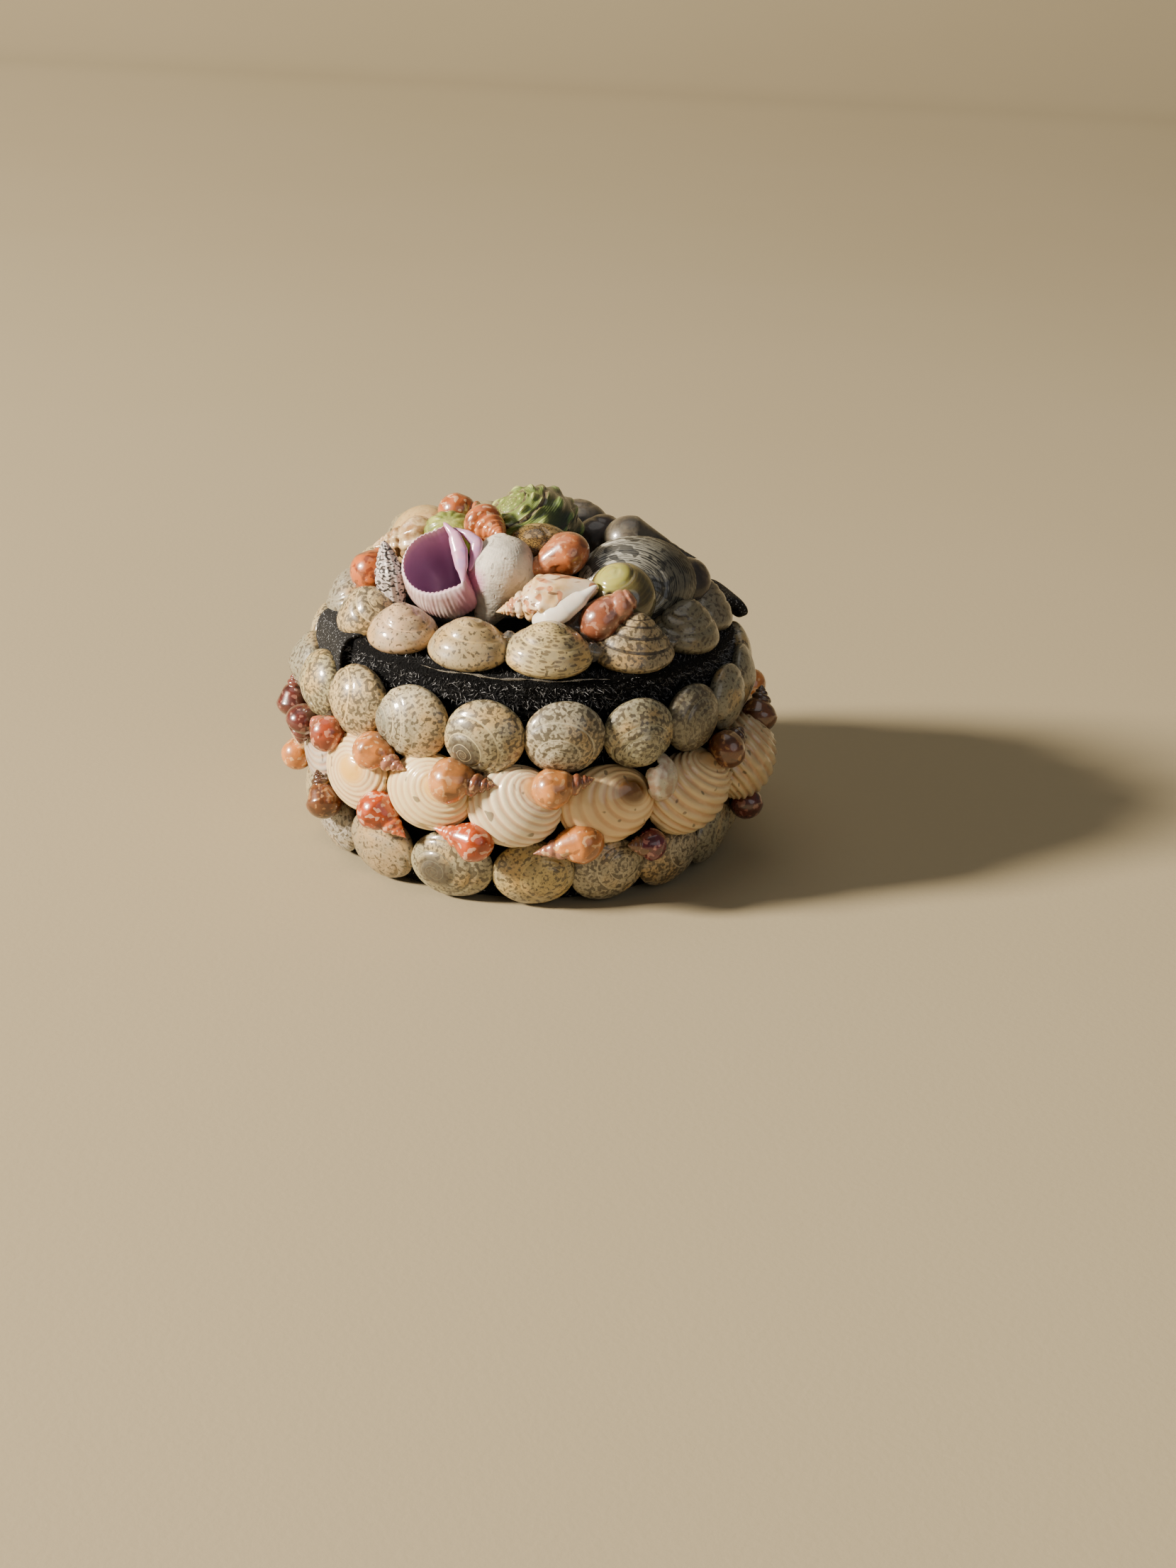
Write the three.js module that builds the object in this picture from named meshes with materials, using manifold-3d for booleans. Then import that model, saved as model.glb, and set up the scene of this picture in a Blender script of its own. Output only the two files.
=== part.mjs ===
// Round trinket box: a felt-covered card box with a hinged lid, crusted with small sea shells.
// Millimetres, +Z up. The underside rests on z = 0 and the box's axis is the Z axis.
// The felt hinge is at -X and the pull tab at +X.
import * as THREE from "three";
import { mergeVertices } from "three/addons/utils/BufferGeometryUtils.js";
import Module from "manifold-3d";

const wasm = await Module();
wasm.setup();

// ---- Driving dimensions, millimetres ----
const DEG = Math.PI / 180;
const GAP = 0.3; // clearance between neighbouring pieces
const GROWN = 0.55; // how much a piece grows to mark where its neighbours may not reach
const BOX_RADIUS = 37.3; // card tub with its felt
const BOX_FOOT_RADIUS = 35.2; // the wall draws in below this height
const BOX_WAIST_HEIGHT = 15.0;
const BOX_HEIGHT = 35.8;
const BOX_WALL = 2.3;
const BOX_FLOOR = 2.4;
const LID_RADIUS = 37.0;
const LID_BOTTOM = 36.1;
const LID_TOP = 41.6;
const LID_BOARD = 2.0; // thickness of the lid's flat board
const LID_WALL = 2.2; // thickness of the lid's rim
const HINGE_HALF_WIDTH = 8.2;
const HINGE_THICKNESS = 0.9;
const HINGE_LINE_Z = 40.9; // height of the crease the felt hinge bends about
const HINGE_BOTTOM = 25.0;
const TAB_WIDTH = 13.0;
const FRONT_TURN = -20 * DEG; // the shown side of the box, turned from the line hinge to tab
const ROUND_SIDES = 36;

// ---- Rows of shells: [azimuth, height of the middle, height of the shell, how far it stands out] ----
// Azimuths are counted in the shown side's own frame: 270 faces the viewer, 200 is the hinge.
const TOP_ROW = {
  back: 37.65,
  sides: 10,
  seats: [
    [186, 31.0, 12.0, 6.4], [203.5, 31.5, 12.4, 6.0], [222.5, 32.5, 13.2, 5.9], [241, 32.1, 13.3, 5.8],
    [260, 31.7, 13.1, 5.8], [279.5, 32.3, 12.7, 5.6], [299, 32.1, 12.2, 6.0], [317, 32.3, 12.3, 4.9],
    [334, 33.0, 12.0, 4.4], [351, 33.0, 11.8, 4.2],
  ],
  hidden: { count: 9, z: 32.6, tall: 12.6, out: 4.4 },
};
const MIDDLE_ROW = {
  back: 37.65,
  sides: 10,
  seats: [
    [202, 18.4, 12.4, 4.4], [224.5, 20.0, 14.2, 6.6], [246.5, 20.3, 13.6, 6.8], [268, 19.7, 14.4, 7.2],
    [291, 19.7, 14.0, 6.8], [316, 18.9, 15.0, 7.6], [343.5, 19.6, 15.4, 9.6],
  ],
  hidden: { count: 9, z: 19.7, tall: 14.2, out: 6.6 },
};
const BOTTOM_ROW = {
  back: 36.6,
  tip: -8, // the row faces a little downwards, square to the drawn-in wall
  sides: 8,
  seats: [
    [209, 6.9, 12.2, 4.2], [230, 7.1, 12.8, 4.4], [252, 7.0, 12.8, 4.8], [273.5, 6.8, 12.6, 4.8],
    [293.5, 6.6, 12.2, 4.4], [313.5, 6.5, 11.8, 4.2], [334, 6.6, 11.8, 4.0],
  ],
  hidden: { count: 10, z: 6.8, tall: 12.4, out: 4.2 },
};
const RIM_ROW = {
  radius: 31.3,
  centre: [-0.4, 0],
  sides: 10,
  lean: 12, // outward lean of each shell's axis from upright
  // [azimuth, height of the keel, how deep the shell runs towards the middle, height of the dome]
  seats: [
    [181, 44.2, 11.5, 5.2], [203, 44.4, 11.5, 5.4], [224.5, 44.2, 11.8, 4.8], [249, 44.4, 12.4, 4.8],
    [275.5, 44.4, 12.8, 5.2], [304, 44.3, 12.4, 6.2], [330.5, 44.3, 12.0, 5.4], [356, 44.2, 11.6, 5.0],
  ],
  hidden: { count: 6, z: 43.9, tall: 11.6, out: 4.4 },
};

// ---- Small snails glued over the joints of the rows ----
// [name, azimuth, height, length, width, way the tip points: 0 right, 90 up, 180 left]
const UPPER_SNAILS = [
  ["upper_snail_01", 187, 25.4, 8.6, 6.8, 100], ["upper_snail_02", 201, 23.0, 8.6, 6.4, 250],
  ["upper_snail_03", 214.5, 26.0, 9.0, 6.8, 170], ["upper_snail_04", 235, 25.9, 10.8, 7.0, -12],
  ["upper_snail_05", 256, 24.4, 11.8, 8.2, 2], ["upper_snail_06", 279, 24.8, 11.0, 7.2, 14],
  ["upper_snail_07", 303.5, 24.4, 8.8, 6.4, 80], ["upper_snail_08", 327, 26.4, 9.4, 7.2, 25],
  ["upper_snail_09", 350, 27.4, 9.0, 7.0, 60],
];
const UPPER_HIDDEN = { count: 7, z: 26, long: 9, wide: 6.4 };
const LOWER_SNAILS = [
  ["lower_snail_01", 213, 13.3, 9.0, 6.8, 120], ["lower_snail_02", 236, 14.6, 10.8, 7.6, -28],
  ["lower_snail_03", 256.5, 14.0, 11.0, 7.2, 168], ["lower_snail_04", 281, 13.6, 12.6, 7.4, 192],
  ["lower_snail_05", 300.5, 12.2, 7.6, 5.8, 172], ["lower_snail_06", 345, 11.6, 8.8, 6.4, 60],
];
const LOWER_HIDDEN = { count: 6, z: 12.6, long: 8.8, wide: 6.2 };
const SNAIL_RADIUS_UPPER = 43.0;
const SNAIL_RADIUS_LOWER = 42.6;

// ---- Shell colours, taken as plain mid tones ----
const FELT = [0x0c0c0d, 0.95];
const CREAM = [0xcdbf9f, 0.3];
const GREY_CREAM = [0xb9b09a, 0.3];
const NERITE = [0xe9cfa6, 0.28];
const ORANGE = [0xc96a42, 0.3];
const PEACH = [0xd9925f, 0.3];
const DARK_RED = [0x8c4a3c, 0.32];
const BROWN = [0x6e4a33, 0.35];

// ---- Mesh helpers ----

// A closed solid through rings of points with the same count, capped by one point at each end.
function loft(startPole, rings, endPole) {
  const count = rings[0].length;
  const points = [startPole, ...rings.flat(), endPole];
  const index = [];
  const last = points.length - 1;
  for (let j = 0; j < count; j++) {
    const k = (j + 1) % count;
    index.push(0, 1 + k, 1 + j);
    for (let i = 0; i + 1 < rings.length; i++) {
      const a = 1 + i * count;
      const b = a + count;
      index.push(a + j, a + k, b + k, a + j, b + k, b + j);
    }
    const c = 1 + (rings.length - 1) * count;
    index.push(last, c + j, c + k);
  }
  const geometry = new THREE.BufferGeometry().setFromPoints(points);
  geometry.setIndex(index);
  return geometry;
}

// Rings round the Z axis from a profile of [radius, height], with an optional outline and drift of centre.
function profileRings(profile, sides, outline = () => 1, drift = () => [0, 0]) {
  return profile.map(([radius, z]) => {
    const [dx, dy] = drift(z);
    return Array.from({ length: sides }, (_, j) => {
      const a = (j / sides) * 2 * Math.PI;
      const r = radius * outline(a, z);
      return new THREE.Vector3(dx + r * Math.cos(a), dy + r * Math.sin(a), z);
    });
  });
}

function toManifold(geometry) {
  const g = geometry.clone();
  g.deleteAttribute("normal");
  g.deleteAttribute("uv");
  const merged = mergeVertices(g, 1e-4);
  const made = new wasm.Manifold(
    new wasm.Mesh({
      numProp: 3,
      vertProperties: merged.attributes.position.array,
      triVerts: new Uint32Array(merged.index.array),
    }),
  );
  if (made.volume() > 0) {
    return made;
  }
  const turned = merged.index.array.slice();
  for (let i = 0; i < turned.length; i += 3) {
    [turned[i + 1], turned[i + 2]] = [turned[i + 2], turned[i + 1]];
  }
  return new wasm.Manifold(
    new wasm.Mesh({
      numProp: 3,
      vertProperties: merged.attributes.position.array,
      triVerts: new Uint32Array(turned),
    }),
  );
}

function toGeometry(solid) {
  const mesh = solid.getMesh();
  const count = mesh.vertProperties.length / mesh.numProp;
  const position = new Float32Array(count * 3);
  for (let i = 0; i < count; i++) {
    position.set(mesh.vertProperties.subarray(i * mesh.numProp, i * mesh.numProp + 3), i * 3);
  }
  const geometry = new THREE.BufferGeometry();
  geometry.setAttribute("position", new THREE.BufferAttribute(position, 3));
  geometry.setIndex(new THREE.BufferAttribute(new Uint32Array(mesh.triVerts), 1));
  const flat = geometry.toNonIndexed();
  flat.computeVertexNormals();
  return flat;
}

// The biggest of the bodies a cut leaves.
function biggest(solid) {
  const bodies = solid.decompose();
  return bodies.reduce((a, b) => (b.volume() > a.volume() ? b : a));
}

// Stands a unit geometry up along an axis at a point of the shown side's frame, then turns that
// frame onto the box's own.
function stand(geometry, at, axis, turn, size) {
  const up = new THREE.Vector3(...axis).normalize();
  const matrix = new THREE.Matrix4();
  matrix.premultiply(new THREE.Matrix4().makeRotationZ(turn * DEG));
  matrix.premultiply(new THREE.Matrix4().makeScale(...size));
  const reference = Math.abs(up.z) < 0.999 ? new THREE.Vector3(0, 0, 1) : new THREE.Vector3(0, 1, 0);
  const side = new THREE.Vector3().crossVectors(reference, up).normalize();
  const top = new THREE.Vector3().crossVectors(up, side);
  matrix.premultiply(new THREE.Matrix4().makeBasis(side, top, up));
  matrix.premultiply(new THREE.Matrix4().makeTranslation(...at));
  matrix.premultiply(new THREE.Matrix4().makeRotationZ(FRONT_TURN));
  return toManifold(geometry.clone().applyMatrix4(matrix));
}

// ---- Shells of unit size: width 1 across, height 1 along +Z from the face they are glued by ----
// Each takes its number of sides; the plain ones stand on the hidden side.

// Button shell: a low top shell with a rounded keel and a small stepped spire.
function button(sides, plain = false) {
  const profile = plain ? [[0.53, 0], [0.4, 0.66]] : [[0.44, 0.02], [0.51, 0.34], [0.33, 0.74]];
  const outline = (a) => 1 + 0.03 * Math.cos(a - 0.8);
  const rings = profileRings(profile, sides, outline, (z) => [0.05 * z, -0.07 * z]);
  return loft(new THREE.Vector3(0, 0, 0), rings, new THREE.Vector3(0.05, -0.08, 1));
}

// Nerite: a domed body whorl with rounded cords winding round an eye set to one side.
function nerite(sides, plain = false) {
  const profile = plain
    ? [[0.47, 0], [0.51, 0.32], [0.35, 0.8]]
    : [[0.46, 0], [0.5, 0.26], [0.43, 0.6], [0.27, 0.9]];
  const outline = (a, z) => 1 + 0.05 * Math.cos(2 * a) + 0.04 * z * Math.sin(3 * a);
  const rings = profileRings(profile, sides, outline, (z) => [0.1 * z, 0.12 * z]);
  return loft(new THREE.Vector3(0, 0, 0), rings, new THREE.Vector3(0.14, 0.16, 1));
}

// Small snail lying on its mouth: body whorl, two smaller whorls and a blunt tip, along +Z.
function snail(sides, plain = false) {
  const profile = plain
    ? [[0.42, 0.08], [0.51, 0.38], [0.31, 0.74]]
    : [[0.36, 0.06], [0.51, 0.34], [0.3, 0.66], [0.27, 0.82]];
  const winding = (a, z) => 1 + 0.07 * Math.cos(a - 6 * z);
  const drift = (z) => [0.05 * Math.cos(6 * z), 0.05 * Math.sin(6 * z)];
  const rings = profileRings(profile, sides, winding, drift);
  return loft(new THREE.Vector3(0, 0, 0), rings, new THREE.Vector3(0, 0, 1));
}

// Spindle: a narrow end, a long widening body and a short stepped spire, along +Z.
function spindle(sides) {
  const profile = [[0.14, 0.01], [0.3, 0.2], [0.46, 0.5], [0.5, 0.66], [0.34, 0.82], [0.12, 0.97]];
  const rings = profileRings(profile, sides, (a) => 1 + 0.05 * Math.cos(a));
  return loft(new THREE.Vector3(0, 0, 0), rings, new THREE.Vector3(0, 0, 1));
}

// Ribbed snail: swelling body with low ribs that run along it.
function ribbed(sides) {
  const profile = [[0.22, 0.03], [0.44, 0.2], [0.5, 0.45], [0.36, 0.68], [0.2, 0.86]];
  const rings = profileRings(profile, sides, (a) => 1 + 0.06 * Math.cos((sides / 2) * a));
  return loft(new THREE.Vector3(0, 0, 0), rings, new THREE.Vector3(0, 0, 1));
}

// Turban: a tall dome of knobbed whorls, widest below its middle.
function turban(sides) {
  const profile = [[0.34, 0], [0.49, 0.2], [0.5, 0.42], [0.43, 0.66], [0.26, 0.88]];
  const knobs = (a, z) => 1 + 0.05 * Math.cos((sides / 2) * a + 5 * z);
  const rings = profileRings(profile, sides, knobs, (z) => [0.05 * z, 0]);
  return loft(new THREE.Vector3(0, 0, 0), rings, new THREE.Vector3(0.08, 0, 1));
}

// Small conch: stepped spire, shouldered body and tapering canal, tip of the spire at +Z.
function conch(sides) {
  const profile = [
    [0.08, 0.02], [0.28, 0.2], [0.45, 0.45], [0.5, 0.62], [0.33, 0.7], [0.34, 0.76], [0.2, 0.84], [0.2, 0.88],
  ];
  const rings = profileRings(profile, sides, (a) => 1 + 0.06 * Math.cos(a + 1));
  return loft(new THREE.Vector3(0, 0, 0), rings, new THREE.Vector3(0, 0, 1));
}

// A ball of width 1 standing on z = 0.
function ball(sides) {
  const slopes = [20, 52, 90, 128, 160];
  const profile = slopes.map((p) => [0.5 * Math.sin(p * DEG), 0.5 - 0.5 * Math.cos(p * DEG)]);
  return loft(new THREE.Vector3(0, 0, 0), profileRings(profile, sides), new THREE.Vector3(0, 0, 1));
}

// A shell given by its middle, the way its own +Z points and its size across, deep and along.
function centred(unit, sides, middle, axis, size, turn = 0, grow = 0) {
  const up = new THREE.Vector3(...axis).normalize();
  const half = size[2] / 2 + grow;
  const at = middle.map((value, i) => value - half * up.getComponent(i));
  return stand(unit(sides), at, axis, turn, size.map((value) => value + 2 * grow));
}

// ---- Rows ----

// The seats of a row with the hidden ones spread evenly over the rest of the circle.
function seatsOf(row) {
  const shown = row.seats;
  const from = shown[shown.length - 1][0];
  const to = shown[0][0] + 360;
  const step = (to - from) / (row.hidden.count + 1);
  const { z, tall, out } = row.hidden;
  const rest = Array.from({ length: row.hidden.count }, (_, i) => [from + step * (i + 1), z, tall, out]);
  return [...shown, ...rest];
}

// Half of the way round to both neighbours, in degrees.
function stepAt(seats, i) {
  const before = seats[(i + seats.length - 1) % seats.length][0] - (i === 0 ? 360 : 0);
  const after = seats[(i + 1) % seats.length][0] + (i === seats.length - 1 ? 360 : 0);
  return (after - before) / 2;
}

function wallRow(row, unit, grow = 0) {
  const seats = seatsOf(row);
  const shells = seats.map(([azimuth, z, tall, out], i) => {
    const a = azimuth * DEG;
    const facing = (row.tip ?? 2) * DEG;
    const radial = [Math.cos(a) * Math.cos(facing), Math.sin(a) * Math.cos(facing), Math.sin(facing)];
    const plain = i >= row.seats.length;
    const sides = plain ? 8 : row.sides;
    const chord = 2 * (row.back + 0.35 * out) * Math.sin((stepAt(seats, i) / 2) * DEG);
    const wide = chord * 1.1 + 2 * grow;
    const at = [
      (row.back - grow) * Math.cos(a),
      (row.back - grow) * Math.sin(a),
      z,
    ];
    const turn = ((i * 7) % sides) * (360 / sides);
    return stand(unit(sides, plain), at, radial, turn, [wide, tall + 2 * grow, out + 2 * grow]);
  });
  return shells.reduce((all, one) => all.add(one));
}

function rimRow(row, grow = 0) {
  const seats = seatsOf(row);
  const shells = seats.map(([azimuth, z, deep, dome], i) => {
    const a = azimuth * DEG;
    const lean = row.lean * DEG;
    const axis = [Math.cos(a) * Math.sin(lean), Math.sin(a) * Math.sin(lean), Math.cos(lean)];
    const chord = 2 * row.radius * Math.sin((stepAt(seats, i) / 2) * DEG);
    const wide = chord * 1.1 + 2 * grow;
    const under = 0.3 * (dome + 2.2) + grow;
    const at = [
      row.centre[0] + row.radius * Math.cos(a) - under * axis[0],
      row.centre[1] + row.radius * Math.sin(a) - under * axis[1],
      z - under * axis[2],
    ];
    const plain = i >= row.seats.length;
    const size = [wide, deep + 2 * grow, dome + 2.2 + 2 * grow];
    return stand(button(plain ? 8 : row.sides, plain), at, axis, 0, size);
  });
  return shells.reduce((all, one) => all.add(one));
}

function seatedSnail(azimuth, radius, z, long, wide, tip, plain, grow = 0) {
  const a = azimuth * DEG;
  const t = tip * DEG;
  const axis = [-Math.sin(a) * Math.cos(t), Math.cos(a) * Math.cos(t), Math.sin(t)];
  const half = long / 2 + grow;
  const at = [
    radius * Math.cos(a) - half * axis[0],
    radius * Math.sin(a) - half * axis[1],
    z - half * axis[2],
  ];
  return stand(snail(6, plain), at, axis, 0, [wide + 2 * grow, wide + 2 * grow, 2 * half]);
}

// ---- Card tub and lid ----
function roundSolid(profile) {
  const rings = profileRings(profile.slice(1, -1), ROUND_SIDES);
  const start = new THREE.Vector3(0, 0, profile[0][1]);
  const end = new THREE.Vector3(0, 0, profile[profile.length - 1][1]);
  return toManifold(loft(start, rings, end));
}

const insideRadius = BOX_RADIUS - BOX_WALL;
const insideFoot = BOX_FOOT_RADIUS - BOX_WALL;
const tub = roundSolid([
  [0, 0], [BOX_FOOT_RADIUS, 0], [BOX_RADIUS, BOX_WAIST_HEIGHT], [BOX_RADIUS, BOX_HEIGHT],
  [insideRadius, BOX_HEIGHT], [insideRadius, BOX_WAIST_HEIGHT], [insideFoot + 0.3, BOX_FLOOR], [0, BOX_FLOOR],
]);
const lidInside = LID_RADIUS - LID_WALL;
const lid = roundSolid([
  [0, LID_TOP - LID_BOARD], [lidInside, LID_TOP - LID_BOARD], [lidInside, LID_BOTTOM],
  [LID_RADIUS, LID_BOTTOM], [LID_RADIUS, LID_TOP], [0, LID_TOP],
]);
const tubKeepOut = roundSolid([
  [0, -1], [BOX_FOOT_RADIUS + 0.2, -1], [BOX_RADIUS + GAP, BOX_WAIST_HEIGHT],
  [BOX_RADIUS + GAP, BOX_HEIGHT + GAP], [0, BOX_HEIGHT + GAP],
]);
const lidKeepOut = roundSolid([
  [0, LID_BOTTOM - 10], [LID_RADIUS + GAP, LID_BOTTOM - 10],
  [LID_RADIUS + GAP, LID_TOP + GAP], [0, LID_TOP + GAP],
]);
const ground = toManifold(new THREE.BoxGeometry(200, 200, 20)).translate([0, 0, -9.8]);

// ---- Felt hinge: a strip glued to the wall below the crease and one glued to the lid above it ----

// A strip that follows a line of [x, z] points across the hinge's width.
function strip(line, halfWidth) {
  const shape = new THREE.Shape();
  line.forEach(([x, z], i) => (i === 0 ? shape.moveTo(x, z) : shape.lineTo(x, z)));
  shape.closePath();
  const geometry = new THREE.ExtrudeGeometry(shape, { depth: 2 * halfWidth, bevelEnabled: false });
  geometry.rotateX(Math.PI / 2);
  geometry.translate(0, halfWidth, 0);
  return toManifold(geometry);
}

const hingeInner = -(BOX_RADIUS + GAP);
const hingeOuter = hingeInner - HINGE_THICKNESS;
const creaseGap = GAP / 2;
let hingeBelow = strip([
  [hingeInner + 1.3, HINGE_BOTTOM], [hingeOuter, HINGE_BOTTOM],
  [hingeOuter, HINGE_LINE_Z - creaseGap], [hingeInner + 1.3, HINGE_LINE_Z - creaseGap],
], HINGE_HALF_WIDTH).subtract(tubKeepOut).subtract(lidKeepOut);
let hingeAbove = strip([
  [hingeOuter, HINGE_LINE_Z + creaseGap], [hingeOuter, LID_TOP + GAP],
  [hingeOuter + 0.8, LID_TOP + GAP + HINGE_THICKNESS], [-29, LID_TOP + GAP + HINGE_THICKNESS],
  [-29, LID_TOP + GAP], [hingeInner, LID_TOP + GAP], [hingeInner, HINGE_LINE_Z + creaseGap],
], HINGE_HALF_WIDTH).subtract(lidKeepOut);

// ---- Pull tab: a folded tongue of felt glued to the lid's top, hanging over the rim ----
const tab = strip([
  [30.5, 41.9], [30.5, 42.9], [34.8, 43.4], [36.6, 43.8], [38.6, 43.2], [40.4, 41.4], [41.4, 39.4],
  [41.2, 38.5], [40.4, 38.1], [38.6, 38.1], [38.2, 39.2], [37.9, 40.6], [37.6, 41.6], [37.4, 41.95],
], TAB_WIDTH / 2).subtract(lidKeepOut).subtract(wallRow(TOP_ROW, button, GAP));

// ---- Build up, front pieces first; each later piece is cut clear of the ones before it ----
const pieces = [];
const keepOuts = [];

function keepClear(solid, box) {
  let left = solid;
  for (const other of keepOuts) {
    if (apart(left.boundingBox(), other.box)) {
      continue;
    }
    left = left.subtract(other.solid);
  }
  return biggest(left.simplify(0.06));
}

function apart(a, b) {
  return [0, 1, 2].some((i) => a.min[i] > b.max[i] || a.max[i] < b.min[i]);
}

// The grown shape a neighbour is cut by is thinned out, which takes back part of what it grew by.
function addPiece(name, solid, look, grown, cuts = []) {
  const cut = cuts.reduce((left, other) => left.subtract(other), solid);
  const finished = keepClear(cut);
  pieces.push({ name, solid: finished, look });
  if (grown) {
    const coarse = grown.simplify(GROWN - GAP);
    keepOuts.push({ solid: coarse, box: coarse.boundingBox() });
  }
}

addPiece("box_tub", tub, FELT);
addPiece("lid_board", lid, FELT);

const top = wallRow(TOP_ROW, button);
const hingeGrown = strip([
  [hingeInner + 1.6, HINGE_BOTTOM - GAP], [hingeOuter - GAP, HINGE_BOTTOM - GAP],
  [hingeOuter - GAP, 43], [hingeInner + 1.6, 43],
], HINGE_HALF_WIDTH + GAP);
addPiece("top_row_shells", top, CREAM, wallRow(TOP_ROW, button, GROWN), [tubKeepOut, lidKeepOut, hingeGrown]);
addPiece("hinge_wall_strip", hingeBelow, FELT);
const middle = wallRow(MIDDLE_ROW, nerite);
addPiece("middle_row_nerites", middle, NERITE, wallRow(MIDDLE_ROW, nerite, GROWN), [tubKeepOut, hingeGrown]);
const bottom = wallRow(BOTTOM_ROW, button);
addPiece("bottom_row_shells", bottom, GREY_CREAM, wallRow(BOTTOM_ROW, button, GROWN), [tubKeepOut, ground]);

function spreadHidden(shown, hidden, prefix) {
  const from = shown[shown.length - 1][1];
  const step = (shown[0][1] + 360 - from) / (hidden.count + 1);
  return Array.from({ length: hidden.count }, (_, i) => [
    prefix + String(shown.length + i + 1).padStart(2, "0"),
    from + step * (i + 1), hidden.z, hidden.long, hidden.wide, (i * 67) % 180,
  ]);
}

const snailLooks = [ORANGE, DARK_RED, ORANGE, PEACH, PEACH, PEACH, GREY_CREAM, BROWN, PEACH];
const upper = [...UPPER_SNAILS, ...spreadHidden(UPPER_SNAILS, UPPER_HIDDEN, "upper_snail_")];
upper.forEach(([name, azimuth, z, long, wide, tip], i) => {
  const seat = [azimuth, SNAIL_RADIUS_UPPER, z, long, wide, tip, i >= UPPER_SNAILS.length];
  addPiece(name, seatedSnail(...seat), snailLooks[i % 9], seatedSnail(...seat, GROWN), [tubKeepOut]);
});
const lowerLooks = [BROWN, ORANGE, ORANGE, PEACH, DARK_RED, BROWN];
const lower = [...LOWER_SNAILS, ...spreadHidden(LOWER_SNAILS, LOWER_HIDDEN, "lower_snail_")];
lower.forEach(([name, azimuth, z, long, wide, tip], i) => {
  const seat = [azimuth, SNAIL_RADIUS_LOWER, z, long, wide, tip, i >= LOWER_SNAILS.length];
  addPiece(name, seatedSnail(...seat), lowerLooks[i % 6], seatedSnail(...seat, GROWN), [tubKeepOut, ground]);
});

// ---- Lid: rim row, then the big shells piled on the board ----
keepOuts.length = 0;
addPiece("lid_rim_shells", rimRow(RIM_ROW), CREAM, rimRow(RIM_ROW, GROWN), [lidKeepOut]);

// Open shell lying on its side: a rounded body with a wide mouth that faces out and up.
const MOUTH_WAY = [-0.25, -0.85, 0.45];
const MOUTH_BODY = [-16.2, -12.1, 52.0];

function openShell(grow = 0) {
  const body = centred(ball, 12, MOUTH_BODY, MOUTH_WAY, [15.4, 15.4, 15.2], 0, grow);
  const whorl = centred(ball, 8, [-6.9, -12.4, 50.8], [-1, 0.2, 0.1], [14.2, 13.2, 15.5], 0, grow);
  const shell = body.add(whorl);
  if (grow > 0) {
    return shell;
  }
  const way = new THREE.Vector3(...MOUTH_WAY).normalize();
  const front = MOUTH_BODY.map((value, i) => value + 14.9 * way.getComponent(i));
  const hollow = MOUTH_BODY.map((value, i) => value + 2.9 * way.getComponent(i));
  const opening = centred(ball, 10, hollow, MOUTH_WAY, [12.2, 12.2, 15.0]);
  const plane = stand(new THREE.BoxGeometry(1, 1, 1), front, MOUTH_WAY, 0, [30, 30, 20]);
  return shell.subtract(plane).subtract(opening);
}

function conchWithLip(grow = 0) {
  const body = centred(conch, 8, [2.6, -22.4, 51.2], [-0.95, 0.02, -0.3], [9.2, 8.6, 18.6], 0, grow);
  const lip = centred(ball, 6, [5.2, -25.4, 50.2], [0.88, 0.05, 0.47], [2.8, 4.2, 13.0], 0, grow);
  return body.add(lip);
}

addPiece("lid_open_violet_shell", openShell(), [0xd8c3bd, 0.55], openShell(GAP), [lidKeepOut]);
addPiece("lid_small_conch", conchWithLip(), [0xe8d9c2, 0.3], conchWithLip(GAP), [lidKeepOut]);

const OLIVE_YELLOW = [0x9a9256, 0.22];
const TAN_ORANGE = [0xa8653f, 0.25];
const NETTED_OLIVE = [0x6b5a34, 0.2];
const RIBBED_GREY = [0x8e8d82, 0.35];
const TURBAN_GREEN = [0x5f7a3c, 0.3];
const MOTTLED_RED = [0xc65b33, 0.25];
const SPOTTED = [0xb5aba3, 0.5];
const PALE_GREEN = [0xaab060, 0.3];
const BANDED_TAN = [0xcdb596, 0.3];
const WARM_CREAM = [0xdcc39a, 0.35];
const POINTED_BROWN = [0x5b5244, 0.35];
const DARK_BROWN = [0x4d4035, 0.4];
const DARK_GREY = [0x45403a, 0.4];

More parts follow.
